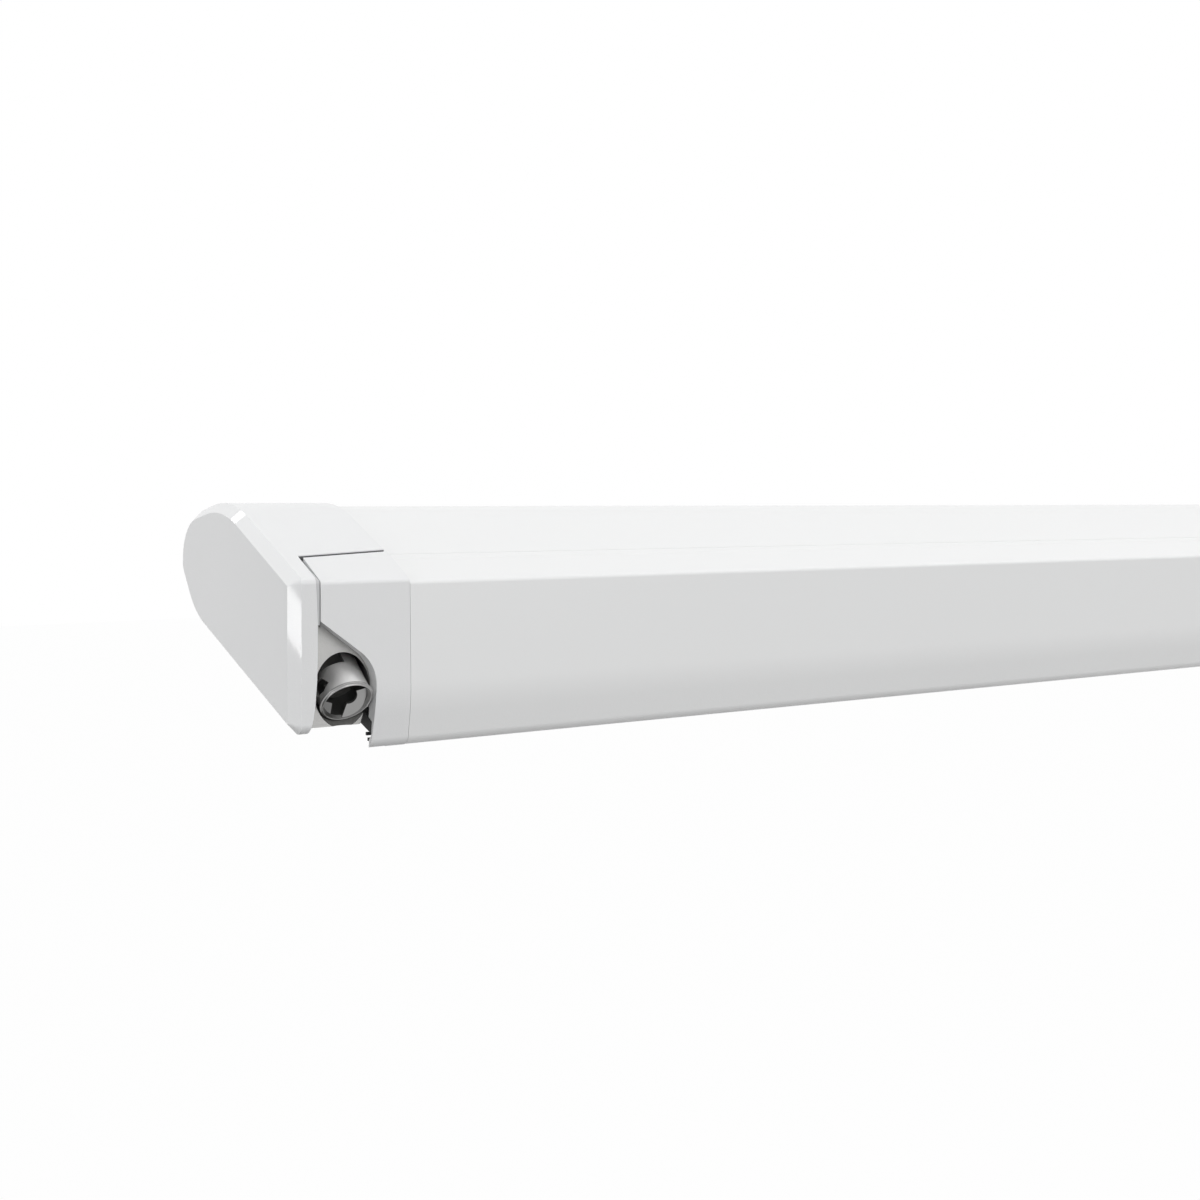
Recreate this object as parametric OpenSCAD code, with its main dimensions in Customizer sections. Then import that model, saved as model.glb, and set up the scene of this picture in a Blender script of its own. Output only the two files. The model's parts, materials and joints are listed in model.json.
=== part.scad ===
// Roll-out awning for a caravan or camper: a closed cassette with a wound cloth roller,
// two folding arms, a lead rail that closes the front, two telescopic legs and a crank winch.
// X runs along the awning, the front faces -Y, Z is up. The origin is the middle of the
// flat strip at the back that lies against the vehicle.

/* [Overall] */
// Length over the two end caps
length = 2600; // [2500:50:4500]
// From the mounting strip to the front face. The whole section grows with it
depth = 164.5; // [145:0.5:200]

/* [Cassette outline] */
// Height of the top corner at the front edge
nose_z = -4.2; // [-5:0.1:-3]
// Height of the bottom corner at the front edge
chin_z = -83.5; // [-90:0.5:-82]
// Crown corner, measured back from the front face
crown_back = 96; // [90:0.5:104]
// Height of the crown corner
crown_z = 36.5; // [35:0.5:42]
// Gap between the end caps and the surface behind
wall_gap = 1.3; // [0.5:0.1:2]
// Height of the upper corner at the back
back_top_z = 25; // [24:0.1:30]
// Height of the lower corner at the back
back_low_z = -5.4; // [-8:0.1:-4.4]
// Heel corner of the belly, measured from the mounting strip
heel_in = 23.6; // [22:0.1:28]
// Height of the heel corner
heel_z = -32.8; // [-38:0.1:-31]
// Radius over the crown
crown_r = 90; // [75:1:110]
// Radius of the round back
back_r = 29; // [20:0.5:30]
// Radius between belly and heel
belly_r = 60; // [30:1:70]
// Wall thickness of the cassette
cassette_wall = 2; // [1.6:0.1:2.4]
// Front edge of the cassette, measured back from the front face
seam_back = 25; // [24:0.5:28]
// Front edge of the cassette's roof, measured back from the front face
roof_back = 29.6; // [28:0.2:31]
// Height of the flat mounting strip
strip_h = 26; // [20:1:30]
// Distance between the two holes of a bracket station
bolt_pitch = 60; // [40:1:80]
// Distance from the middle to an outer bracket station
station_x = 1000; // [600:10:1050]
// Radius of the tapped mounting holes
bolt_r = 2.5; // [2:0.05:3.3]

/* [End caps] */
// Chamfer round the side face
cap_chamfer = 5.3; // [3:0.1:7]
// Wall of the end cap
cap_wall = 1.8; // [1.4:0.1:1.9]
// How far the end cap stands proud of the cassette
cap_lap = 2; // [1.95:0.05:2.6]
// How far the end cap reaches over the cassette
cap_reach = 65; // [60:0.5:75]
// Width of the front strip at its top
strip_top_w = 13.9; // [12.5:0.1:14.2]
// Width of the front strip at its bottom
strip_low_w = 10.8; // [9:0.1:13]
// How much of the end cap the cassette leaves free
cassette_inset = 54; // [53:0.5:56]

/* [Lead rail] */
// Height of the lowest edge of the rail
rail_bottom_z = -92.2; // [-96:0.2:-91]
// Height at which the front face starts to curve under
rail_bend_z = -67; // [-75:1:-58]
// Height of the rail's top edge at the front
rail_nose_z = -7; // [-9:0.2:-6]
// The same edge on the rail caps
cap_nose_z = -5.9; // [-7:0.1:-5]
// How far the bottom edge curves back
rail_tuck = 4; // [2:0.2:4.6]
// Wall of the rail
rail_wall = 2; // [1.6:0.1:2.2]
// Gap where the rail meets the cassette
seam_gap = 0.6; // [0.4:0.1:1]
// Height of the shelf over the leg channel
shelf_z = -42; // [-44:0.5:-41]
// Width of one rail cap
rail_cap_w = 49.4; // [46:0.1:56]
// Gap between the end cap's outer face and the rail cap
rail_cap_x = 16; // [15.9:0.1:18]
// Depth of the rail caps, front to back
rail_cap_d = 23; // [20:0.1:23.6]
// Depth of the crank cut-out's return wall
return_depth = 8; // [5:0.1:9]
// Radius of the keder groove
keder_r = 3.1; // [2.6:0.1:3.4]

/* [Arms] */
// From the middle of the awning to a folded elbow's pivot
elbow_gap = 90; // [85:1:300]
// Shoulder pivot, measured in from the end cap's outer face
shoulder_in = 110; // [108:1:116]
// Width of the arm tubes
arm_w = 26; // [22:0.5:26.4]
// Height of the arm tubes
arm_h = 36; // [30:0.5:37]
// Wall of the arm tubes
arm_wall = 2; // [1.5:0.1:3]
// Height of the arms' middle line
arm_z = -25; // [-26:0.5:-24]
// Distance between the two folded tubes, middle to middle
arm_pitch = 30; // [29:0.2:30.6]
// From the rail to the forearm's middle line
wrist_out = 25.1; // [24:0.1:26]
// Radius of the pivot pins
pin_r = 5; // [3:0.1:6]
// Thickness of the fork lugs
lug_t = 6.5; // [5:0.1:8]

/* [Roller] */
// Roller axis, measured from the mounting strip
roller_in = 40; // [39:0.2:40.4]
// Height of the roller axis
roller_z = -2; // [-2.6:0.1:-1.6]
// Outer radius of the roller tube
roller_r = 21.5; // [18:0.5:22]
// Thickness of the wound cloth
wound_t = 5.3; // [3:0.1:5.8]
// Bare roller tube beyond each edge of the cloth
cloth_margin = 10; // [5:1:60]
// Thickness of the cloth
cloth_t = 0.8; // [0.4:0.1:1.2]
// Radius of the roller's journals
journal_r = 7; // [5:0.1:8]

/* [Crank winch] */
// Middle of the crank socket's mouth, measured in from the end cap's outer face
crank_x = 31; // [30:0.2:31.4]
// Mouth of the crank socket, measured back from the front face
crank_back = 3.4; // [2.4:0.2:4.4]
// Height of the crank socket's mouth
crank_z = -66.4; // [-67:0.1:-66]
// Tilt of the crank axis below level, in degrees
crank_tilt = 37; // [36:0.2:37.6]
// Outer radius of the crank socket
socket_r = 14; // [12:0.1:14.4]
// Wall of the crank socket
socket_wall = 1.6; // [1.2:0.1:2.4]
// Length of the crank socket
socket_len = 33; // [30:0.5:34]
// Teeth of the worm wheel
wheel_teeth = 16; // [12:1:24]

/* [Legs] */
// Leg pivot, measured in from the end cap's outer face
leg_in = 100; // [96:1:106]
// From the middle of the awning to a folded foot
foot_gap = 35; // [25:1:200]
// Width of the outer leg tube
leg_w = 13; // [11:0.5:13.2]
// Height of the outer leg tube
leg_h = 28; // [24:0.5:29]
// Wall of the leg tubes
leg_wall = 1.4; // [1:0.1:2]
// Height of the folded leg's middle line
leg_z = -66; // [-67:0.5:-65]

/* [Clearances] */
// Running clearance of pins and journals
run_gap = 0.06; // [0.02:0.01:0.1]
// Clearance of pieces that slide into one another
slide_gap = 0.3; // [0.2:0.05:0.5]
// Clearance between pieces that pass each other
pass_gap = 0.4; // [0.3:0.05:0.6]

/* [Hidden] */
$fn = 48;

// Points on each rounded corner of an outline
arc_steps = 9;
// Overlap that joins the shapes of one piece
join = 0.5;
// Length that reaches past everything in a cut
far = 400;

// Depth that the sizes of the section are given for
drawn_depth = 164.5;
grow = depth / drawn_depth;
out_x = -length / grow / 2;
front_y = -drawn_depth;
seam_y = front_y + seam_back;
roof_y = front_y + roof_back;
rail_y = seam_y - seam_gap;

nose_r = 4;
chin_r = 5;
heel_r = 13;
cap_corners = [
  [front_y, chin_z, chin_r],
  [front_y, nose_z, nose_r],
  [front_y + crown_back, crown_z, crown_r],
  [-wall_gap, back_top_z, back_r],
  [-wall_gap, back_low_z, heel_r],
  [-heel_in, heel_z, belly_r]
];
top_slope = atan2(crown_z - nose_z, crown_back);
// Height of the outline's straight top at a depth, a distance inside it
function top_z(y, inside) = nose_z + (y - front_y) * tan(top_slope) - inside / cos(top_slope);

cassette_x = out_x + cassette_inset;
strip_t = 14;
flange_x = out_x + cap_reach;

cap_x0 = out_x + rail_cap_x;
cap_x1 = cap_x0 + rail_cap_w;
rail_x = cap_x1 + 0.2;
rail_top_r = 2.6;
lip_gap = 0.35;
rail_lip_y = roof_y - lip_gap;
rail_foot_r = 6;
rail_bend_r = 90;
rail_lean = 1.2;
rail_foot = [front_y + rail_tuck, rail_bottom_z, rail_foot_r];
rail_bend = [front_y, rail_bend_z, rail_bend_r];
rail_corners = [
  rail_foot,
  rail_bend,
  [front_y + rail_lean, rail_nose_z, rail_top_r],
  [rail_y, top_z(rail_y, cap_lap), 0.3],
  [rail_y, rail_bottom_z + 1, 0.8]
];
rail_cap_back = front_y + rail_cap_d;
rail_cap_corners = [
  rail_foot,
  rail_bend,
  [front_y + rail_lean, cap_nose_z, rail_top_r],
  [rail_cap_back, top_z(rail_cap_back, 0), 0.3],
  [rail_cap_back, rail_bottom_z + 1, 0.6]
];
rail_cap_wall = 2.2;
// Crank cut-out in the rail cap: its slope meets the cap's edge, its corner, its foot
cut_slope = 37;
cut_corner = [46.6, -48.7, 21];
cut_foot_x = 44.2;
// Height below which the cut-out's foot is open at the back, and how far along
cut_foot_z = -78;
foot_open_w = 55;

keder_c = [rail_y - keder_r - 1.7, -2.5];
slit = cloth_t + 1;

shoulder_x = out_x + shoulder_in;
arm_reach = -elbow_gap - shoulder_x;
forearm_y = rail_y + wrist_out;
inner_y = forearm_y + arm_pitch;
elbow_y = forearm_y + arm_pitch / 2;
arm_r = 4;
tongue_r = 12;
elbow_r = 14;
tongue_h = arm_h - 2 * lug_t - 2 * pass_gap;
knuckle_len = 25;
plug_len = 35;
collar_t = 3;
spring_len = 500;

roller_y = -roller_in;
roller_end = 30;
roller_x = shoulder_x + roller_end;
cloth_w = -2 * (roller_x + cloth_margin);
plug_t = 5;
plug_grip = 30;
bracket_t = 5;
bracket_x = cassette_x + 10;
bush_wall = 3;
bush_flange = 1.5;

crank_p = [out_x + crank_x, front_y + crank_back, crank_z];
// Distance along the crank axis from the mouth to the roller, and past it
crank_run = (roller_y - crank_p[1]) * cos(crank_tilt) + (roller_z - crank_z) * sin(crank_tilt);
crank_off = (roller_y - crank_p[1]) * sin(crank_tilt) - (roller_z - crank_z) * cos(crank_tilt);
worm_r = 7;
wheel_r = crank_off - worm_r - pass_gap;
worm_len = 14;
shaft_r = 5;
wheel_w = 10;

leg_y = rail_y - 10.4;
leg_x = out_x + leg_in;
leg_len = -foot_gap - leg_x;
inner_leg_w = leg_w - 2 * leg_wall - 2 * slide_gap;
inner_leg_h = leg_h - 2 * leg_wall - 2 * slide_gap;
leg_eye_r = 12;
leg_neck = 30;
leg_pin_r = 4;
foot_len = 15;
leg_collar_len = 30;
inner_leg_start = 130;

white = [0.93, 0.93, 0.92];
cap_white = [0.90, 0.90, 0.90];
alloy = [0.72, 0.72, 0.71];
steel = [0.55, 0.55, 0.56];
black = [0.08, 0.08, 0.08];
grey_plastic = [0.45, 0.45, 0.46];
cloth_grey = [0.75, 0.76, 0.78];

// Outlines: lists of corners, each with its radius, clockwise in the plane
function unit(v) = v / norm(v);
function flat2(c) = [c[0], c[1]];
function corner_arc(a, b, c, r) =
  let (
    u = unit(a - b),
    w = unit(c - b),
    half = acos(u * w) / 2,
    middle = b + unit(u + w) * r / sin(half),
    p0 = b + u * r / tan(half) - middle,
    p1 = b + w * r / tan(half) - middle,
    a0 = atan2(p0[1], p0[0]),
    turn = atan2(p0[0] * p1[1] - p0[1] * p1[0], p0 * p1)
  )
  [for (i = [0 : arc_steps]) middle + r * [cos(a0 + turn * i / arc_steps), sin(a0 + turn * i / arc_steps)]];
function rounded(k) =
  let (n = len(k))
  [for (i = [0 : n - 1])
    let (before = flat2(k[(i + n - 1) % n]), after = flat2(k[(i + 1) % n]))
    each corner_arc(before, flat2(k[i]), after, k[i][2])];
function right_of(a, b) = let (u = unit(b - a)) [u[1], -u[0]];
// Corners moved a distance inwards, with their radii made smaller to suit
function inset(k, t) =
  let (n = len(k))
  [for (i = [0 : n - 1])
    let (
      b = flat2(k[i]),
      n0 = right_of(flat2(k[(i + n - 1) % n]), b),
      n1 = right_of(b, flat2(k[(i + 1) % n])),
      p = b + (n0 + n1) * t / (1 + n0 * n1)
    )
    [p[0], p[1], max(0.3, k[i][2] - t)]];

// Extrusions of a section along X, and of an outline in X and Z along Y
module along_x(x0, x1) {
  translate([x0, 0, 0]) rotate([90, 0, 90]) linear_extrude(x1 - x0) children();
}
module along_y(y0, y1) {
  translate([0, y1, 0]) rotate([90, 0, 0]) linear_extrude(y1 - y0) children();
}
module on_right() {
  mirror([1, 0, 0]) children();
}
module box(low, high) {
  translate(low) cube(high - low);
}
module rounded_bar(w, h, r) {
  polygon(rounded([[-w / 2, -h / 2, r], [-w / 2, h / 2, r], [w / 2, h / 2, r], [w / 2, -h / 2, r]]));
}
module bar_ring(w, h, r, wall) {
  difference() {
    rounded_bar(w, h, r);
    rounded_bar(w - 2 * wall, h - 2 * wall, max(0.3, r - wall));
  }
}
// A pan-head screw along -Z, its head's seat at the origin
module screw(r, len, head_r, head_h) {
  translate([0, 0, -len]) cylinder(r = r, h = len + join);
  difference() {
    cylinder(r = head_r, h = head_h);
    translate([0, 0, head_h * 0.45]) cylinder(r = head_r * 0.55, h = head_h, $fn = 6);
  }
}

// Cassette
module cassette_shell() {
  difference() {
    union() {
      along_x(cassette_x, -cassette_x) polygon(rounded(inset(cap_corners, cap_lap)));
      box([cassette_x, -strip_t, -strip_h / 2], [-cassette_x, 0, strip_h / 2]);
    }
    along_x(cassette_x - 1, 1 - cassette_x) polygon(rounded(inset(cap_corners, cap_lap + cassette_wall)));
    box([cassette_x - 1, seam_y - far, -far / 2], [1 - cassette_x, seam_y, far / 2]);
    box([cassette_x - 1, seam_y - far, 0], [1 - cassette_x, roof_y, far / 2]);
  }
}
module station_holes() {
  for (x = [-station_x, 0, station_x], side = [-1, 1])
    translate([x + side * bolt_pitch / 2, -far / 40, 0])
      rotate([-90, 0, 0]) cylinder(r = bolt_r, h = far / 20);
}
belly_dir = unit([-heel_in - front_y, heel_z - chin_z]);
belly_tilt = atan2(belly_dir[1], belly_dir[0]);
belly_screw_back = [62, 110];
belly_screw_r = 2;
belly_head_r = 4;
small_head_r = 3.6;
small_head_h = 2.4;
cap_screw_len = 6;
bracket_screw_len = 8;
hole_reach = 12;
module belly_hole() {
  translate([0, 0, -hole_reach]) cylinder(r = belly_screw_r, h = 2 * hole_reach);
}
// Places on the belly's outer face, with Z out of the face
module on_belly(y, inside) {
  z = chin_z + (y - front_y) * tan(belly_tilt) + inside / cos(belly_tilt);
  translate([0, y, z]) rotate([180 + belly_tilt, 0, 0]) children();
}
cap_screw_x = (cassette_x + flange_x) / 2;
module cap_screw_places() {
  for (d = belly_screw_back) translate([cap_screw_x, 0, 0]) on_belly(front_y + d, 0) children();
}
module cassette_housing() {
  color(white) difference() {
    cassette_shell();
    station_holes();
    for (m = [0, 1]) mirror([m, 0, 0]) cap_screw_places()
      belly_hole();
    for (m = [0, 1]) mirror([m, 0, 0]) bracket_screw_places()
      belly_hole();
  }
}
seal_w = 8;
seal_t = 2.2;
module cassette_seal() {
  color(black) along_x(cassette_x + 2, -cassette_x - 2)
    translate([roof_y, top_z(roof_y, cap_lap + cassette_wall)]) rotate(top_slope) {
      translate([0.8, -seal_t]) square([seal_w, seal_t]);
      translate([0.8, -seal_t / 2]) circle(r = seal_t / 2);
    }
}

// End caps
module cap_ring() {
  difference() {
    polygon(rounded(cap_corners));
    polygon(rounded(inset(cap_corners, cap_wall)));
  }
}
// The groove between the end cap's flange and the rail cap slants back from the front strip
groove_back = 25.4;
groove_slant = 6;
groove_w = 2.4;
function groove_y(x) = front_y + groove_back + (x - out_x - strip_top_w) * tan(groove_slant);
mouth_d = 46;
// Inner edge of the front strip from its foot to its top: distance from the outer face, and height
strip_edge = [
  [strip_low_w - 2.2, chin_z - 10],
  [strip_low_w - 2.2, chin_z + 0.2],
  [strip_low_w - 1.4, chin_z + 1],
  [strip_low_w - 0.8, chin_z + 3],
  [strip_low_w + 0.8, -74],
  [strip_top_w - 1.2, -66.5],
  [strip_top_w - 0.4, -56],
  [strip_top_w, -44],
  [strip_top_w, -27],
  [strip_top_w - 0.5, -14],
  [strip_top_w - 1, nose_z - cap_wall]
];
module front_opening(top) {
  polygon(concat(
    [[out_x + strip_top_w - 1, top], [flange_x + 1, top], [flange_x + 1, chin_z - 10]],
    [for (e = strip_edge) [out_x + e[0], e[1]]]
  ));
}
// Plan of the flange's cut, in X and Y
module flange_cut() {
  translate([0, 0, -far]) linear_extrude(2 * far) polygon([
    [out_x + strip_top_w - 1.4, front_y - 10],
    [flange_x + 1, front_y - 10],
    [flange_x + 1, groove_y(flange_x + 1)],
    [out_x + strip_top_w, groove_y(out_x + strip_top_w)]
  ]);
}
module end_cap() {
  color(cap_white) difference() {
    union() {
      hull() {
        along_x(out_x, out_x + 0.01) polygon(rounded(inset(cap_corners, cap_chamfer)));
        along_x(out_x + cap_chamfer, out_x + cap_chamfer + cap_wall) polygon(rounded(cap_corners));
      }
      along_x(out_x + cap_chamfer, flange_x) cap_ring();
    }
    intersection() {
      along_y(front_y - 10, front_y + mouth_d) front_opening(far);
      flange_cut();
    }
    along_y(front_y - 10, front_y + mouth_d) front_opening(nose_z - cap_wall);
    box(
      [face_x0 - face_gap, front_y + 2 * cap_wall, -far],
      [flange_x + 1, front_y + mouth_d, strip_edge[5][1]]
    );
    cap_screw_places() belly_hole();
    box([cassette_x - 2, -strip_t, -strip_h / 2 - 1], [flange_x + 1, 2, strip_h / 2 + 1]);
  }
}
module left_end_cap() {
  end_cap();
}
module right_end_cap() {
  on_right() end_cap();
}
module end_cap_screws() {
  color(steel) for (m = [0, 1]) mirror([m, 0, 0]) cap_screw_places()
    screw(belly_screw_r, cap_screw_len, belly_head_r, small_head_h);
}

// Shoulder brackets: a bearing plate for the roller with a fork for the arm
fork_back_y = inner_y + tongue_r + 2;
fork_plate_t = 4;
bracket_end_x = shoulder_x + 18;
module lug(r, reach, w) {
  cylinder(r = r, h = lug_t);
  translate([-w / 2, 0, 0]) cube([w, reach, lug_t]);
}
module fork_lugs(r, reach, w) {
  translate([0, 0, arm_z - arm_h / 2]) lug(r, reach, w);
  translate([0, 0, arm_z + arm_h / 2 - lug_t]) lug(r, reach, w);
}
bracket_screw_back = [100, 124];
module bracket_screw_places() {
  for (d = bracket_screw_back) translate([bracket_x + foot_w - 11, 0, 0])
    on_belly(front_y + d, cap_lap) children();
}
foot_w = 24;
foot_back = 92;
foot_drop = 1.5;
module shoulder_bracket() {
  color(alloy) difference() {
    union() {
      intersection() {
        along_x(bracket_x, bracket_end_x)
          polygon(rounded(inset(cap_corners, cap_lap + cassette_wall + slide_gap)));
        union() {
          box([bracket_x, fork_back_y, -far], [bracket_x + bracket_t, 0, far]);
          box(
            [bracket_x, front_y + foot_back, -far],
            [bracket_x + foot_w, roller_y + 10, arm_z - arm_h / 2 - foot_drop]
          );
        }
      }
      box(
        [bracket_x, fork_back_y, arm_z - arm_h / 2],
        [bracket_end_x, fork_back_y + fork_plate_t, arm_z + arm_h / 2]
      );
      translate([shoulder_x, inner_y, 0])
        fork_lugs(tongue_r + 1, fork_back_y - inner_y + 1, 2 * tongue_r + 2);
      translate([bracket_x, roller_y, roller_z]) rotate([0, 90, 0])
        cylinder(r = journal_r + bush_wall + 4, h = bracket_t + 5);
    }
    translate([bracket_x - 1, roller_y, roller_z]) rotate([0, 90, 0])
      cylinder(r = journal_r + bush_wall, h = far / 8);
    translate([shoulder_x, inner_y, arm_z - arm_h]) cylinder(r = pin_r, h = 2 * arm_h);
    bracket_screw_places() belly_hole();
  }
}
module left_shoulder_bracket() {
  shoulder_bracket();
}
module right_shoulder_bracket() {
  on_right() shoulder_bracket();
}
pin_head_r = pin_r + 2.5;
pin_head_t = 1.5;
module pivot_pin(h) {
  translate([0, 0, arm_z - h / 2]) cylinder(r = pin_r, h = h + pin_head_t);
  translate([0, 0, arm_z + h / 2]) cylinder(r = pin_head_r, h = pin_head_t);
}
module shoulder_pins() {
  color(steel) for (m = [0, 1]) mirror([m, 0, 0]) translate([shoulder_x, inner_y, 0]) pivot_pin(arm_h);
}
module roller_bush() {
  translate([bracket_x - bush_flange, roller_y, roller_z]) rotate([0, 90, 0]) difference() {
    union() {
      cylinder(r = journal_r + bush_wall, h = bracket_t + 5 + bush_flange);
      cylinder(r = journal_r + bush_wall + 2, h = bush_flange);
    }
    translate([0, 0, -1]) cylinder(r = journal_r + run_gap, h = far / 8);
  }
}
module roller_bushes() {
  color(black) for (m = [0, 1]) mirror([m, 0, 0]) roller_bush();
}
module bracket_screws() {
  color(steel) for (m = [0, 1]) mirror([m, 0, 0]) bracket_screw_places()
    screw(belly_screw_r, bracket_screw_len, belly_head_r, small_head_h);
}

// Crank winch: places along the crank axis, with Z pointing out of the socket's mouth
module on_crank(t) {
  translate(crank_p) rotate([90 + crank_tilt, 0, 0]) translate([0, 0, -t]) children();
}
gear_x0 = out_x + cap_chamfer + cap_wall + 9;
gear_x1 = bracket_x;
wheel_x = out_x + crank_x;
bore_lift = 0.9;
barrel_r = socket_r + 4.3;
shaft_barrel_r = worm_r + 4;
socket_bore_r = socket_r + bore_lift + pass_gap;
drum_r = wheel_r + 9;
face_y = front_y + return_depth + 0.6;
block_back = seam_y - 1;
face_low_z = -79.4;
face_top_z = -24;
block_gap = 0.7;
block_x0 = cap_x0 + rail_cap_wall + block_gap;
block_x1 = cap_x1 - rail_cap_wall - block_gap;
// Lower right corner of the cast face, clear of the cut-out's foot
block_notch = [[block_x1, -66], [out_x + cut_foot_x - 1, -71.5], [out_x + cut_foot_x - 3.2, face_low_z]];
// Left edge of the face, behind the end cap's strip
face_x0 = out_x + strip_low_w - 0.4;
face_gap = 1;
module gearbox_face() {
  polygon(rounded([
    [block_x0, face_low_z, 2],
    [block_x0, face_top_z, 3],
    [block_x1, face_top_z, 3],
    [block_notch[0][0], block_notch[0][1], 3],
    [block_notch[1][0], block_notch[1][1], 2],
    [block_notch[2][0], block_notch[2][1], 1]
  ]));
  translate([face_x0, face_low_z]) square([cap_x0 - pass_gap - face_x0, face_top_z - face_low_z]);
  intersection() {
    translate([out_x, 0]) crank_cut(-face_gap);
    translate([face_x0, face_low_z]) square([block_x0 + 6 - face_x0, face_top_z - face_low_z]);
  }
}
module gearbox_housing() {
  color(alloy) difference() {
    union() {
      intersection() {
        union() {
          on_crank(socket_len + 6) cylinder(r = barrel_r, h = socket_len + 2);
          on_crank(crank_run + worm_len / 2 + 5) cylinder(r = shaft_barrel_r, h = crank_run - 10);
          translate([gear_x0, roller_y, roller_z]) rotate([0, 90, 0])
            cylinder(r = drum_r, h = gear_x1 - bush_flange - gear_x0);
        }
        box([gear_x0, block_back - join, -far], [gear_x1, 0, far]);
        along_x(gear_x0 - 1, gear_x1)
          polygon(rounded(inset(cap_corners, cap_lap + cassette_wall + slide_gap)));
      }
      along_y(face_y, block_back) gearbox_face();
    }
    on_crank(socket_len + 1) translate([0, bore_lift, 0]) cylinder(r = socket_bore_r, h = far / 4);
    on_crank(crank_run - worm_len / 2 - 2) cylinder(r = shaft_r + run_gap, h = crank_run);
    on_crank(crank_run + worm_len / 2 + 1) cylinder(r = worm_r + 0.6, h = worm_len + 3);
    translate([wheel_x - wheel_w / 2 - 1, roller_y, roller_z]) rotate([0, 90, 0])
      cylinder(r = wheel_r + 1, h = wheel_w + 2);
    translate([gear_x0 + 6, roller_y, roller_z]) rotate([0, 90, 0])
      cylinder(r = journal_r + run_gap, h = far / 4);
    gearbox_screw_places() translate([0, 0, -gearbox_screw_len])
      cylinder(r = belly_screw_r, h = 2 * gearbox_screw_len);
  }
}
gearbox_screw_len = 12;
module gearbox_screw_places() {
  for (a = [0, 65, 270])
    translate([gear_x0, roller_y, roller_z]) rotate([a, 0, 0]) translate([0, drum_r - 4.6, 0])
      rotate([0, -90, 0]) children();
}
module gearbox_screws() {
  color(steel) gearbox_screw_places()
    screw(belly_screw_r, gearbox_screw_len - 2, small_head_r, small_head_h);
}
rim_r = 1.5;
plate_in = 3.2;
plate_t = 1.6;
keyhole_r = 5.2;
keyhole_up = -0.4;
slot_w = 6.4;
// Turn of the keyhole, and of the back windows, about the crank axis, in degrees
keyhole_turn = -10;
window_turn = 27;
module socket_window(w, h) {
  rotate([90, 0, 0]) translate([0, 0, socket_r / 2]) linear_extrude(socket_r)
    polygon([[-w / 2, 0], [-w / 4, h / 2], [w / 4, h / 2], [w / 2, 0], [w / 4, -h / 2], [-w / 4, -h / 2]]);
}
socket_bore = socket_r - rim_r / 2 - socket_wall;
socket_base = 3;
side_window = [19, 8.6];
side_window_in = 9.4;
side_window_turn = [-85, 95];
back_window = [13, 10];
back_window_in = 26;
module crank_socket() {
  color(steel) on_crank(socket_len) difference() {
    union() {
      cylinder(r = socket_r - rim_r / 2, h = socket_len);
      translate([0, 0, socket_len - rim_r]) rotate_extrude()
        translate([socket_r - rim_r, 0]) circle(r = rim_r, $fn = 24);
    }
    translate([0, 0, socket_len - plate_in]) cylinder(r = socket_bore, h = far);
    translate([0, 0, socket_base])
      cylinder(r = socket_bore, h = socket_len - plate_in - plate_t - socket_base);
    rotate(keyhole_turn) translate([0, 0, socket_len - plate_in - plate_t - 1]) {
      translate([0, keyhole_up, 0]) cylinder(r = keyhole_r, h = plate_t + 2);
      translate([-slot_w / 2, -socket_bore + 0.2, 0]) cube([slot_w, socket_bore, plate_t + 2]);
    }
    translate([0, 0, socket_len - side_window_in]) for (a = side_window_turn) rotate(a)
      socket_window(side_window[0], side_window[1]);
    rotate(window_turn) for (m = [0, 1]) mirror([0, m, 0])
      translate([-back_window[0] / 2, socket_r / 2, socket_len - back_window_in])
        cube([back_window[0], socket_r, back_window[1]]);
  }
}
module crank_worm() {
  color(steel) {
    on_crank(crank_run + worm_len / 2) cylinder(r = shaft_r, h = crank_run + worm_len / 2 - socket_len);
    on_crank(crank_run + worm_len / 2) cylinder(r = worm_r, h = worm_len);
  }
}

// Roller
module across(x, r, w) {
  translate([x, roller_y, roller_z]) rotate([0, 90, 0]) cylinder(r = r, h = w);
}
tube_wall = 1.5;
module roller_tube() {
  color(alloy) difference() {
    across(roller_x, roller_r, -2 * roller_x);
    across(roller_x - 1, roller_r - tube_wall, -2 * roller_x + 2);
  }
}
module roller_plug(end_x) {
  across(end_x, journal_r, roller_x - end_x + plug_grip);
  across(roller_x - plug_t, roller_r, plug_t);
  across(roller_x, roller_r - tube_wall, plug_grip);
}
module left_roller_plug() {
  color(grey_plastic) roller_plug(wheel_x - wheel_w / 2 - 2);
}
module right_roller_plug() {
  color(grey_plastic) on_right() roller_plug(bracket_x - 4);
}
module worm_wheel() {
  tooth = wheel_r * 0.12;
  turn = 360 / wheel_teeth;
  color([0.75, 0.6, 0.25]) along_x(wheel_x - wheel_w / 2, wheel_x + wheel_w / 2)
    translate([roller_y, roller_z])
    difference() {
      polygon([for (i = [0 : wheel_teeth - 1], s = [0 : 3])
        let (r = s < 2 ? wheel_r - tooth : wheel_r, a = (i + [0, 0.34, 0.44, 0.9][s]) * turn)
        r * [cos(a), sin(a)]]);
      circle(r = journal_r);
    }
}
module cloth_roll() {
  color(cloth_grey) difference() {
    across(-cloth_w / 2, roller_r + wound_t, cloth_w);
    across(-cloth_w / 2 - 1, roller_r, cloth_w + 2);
  }
}

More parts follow.
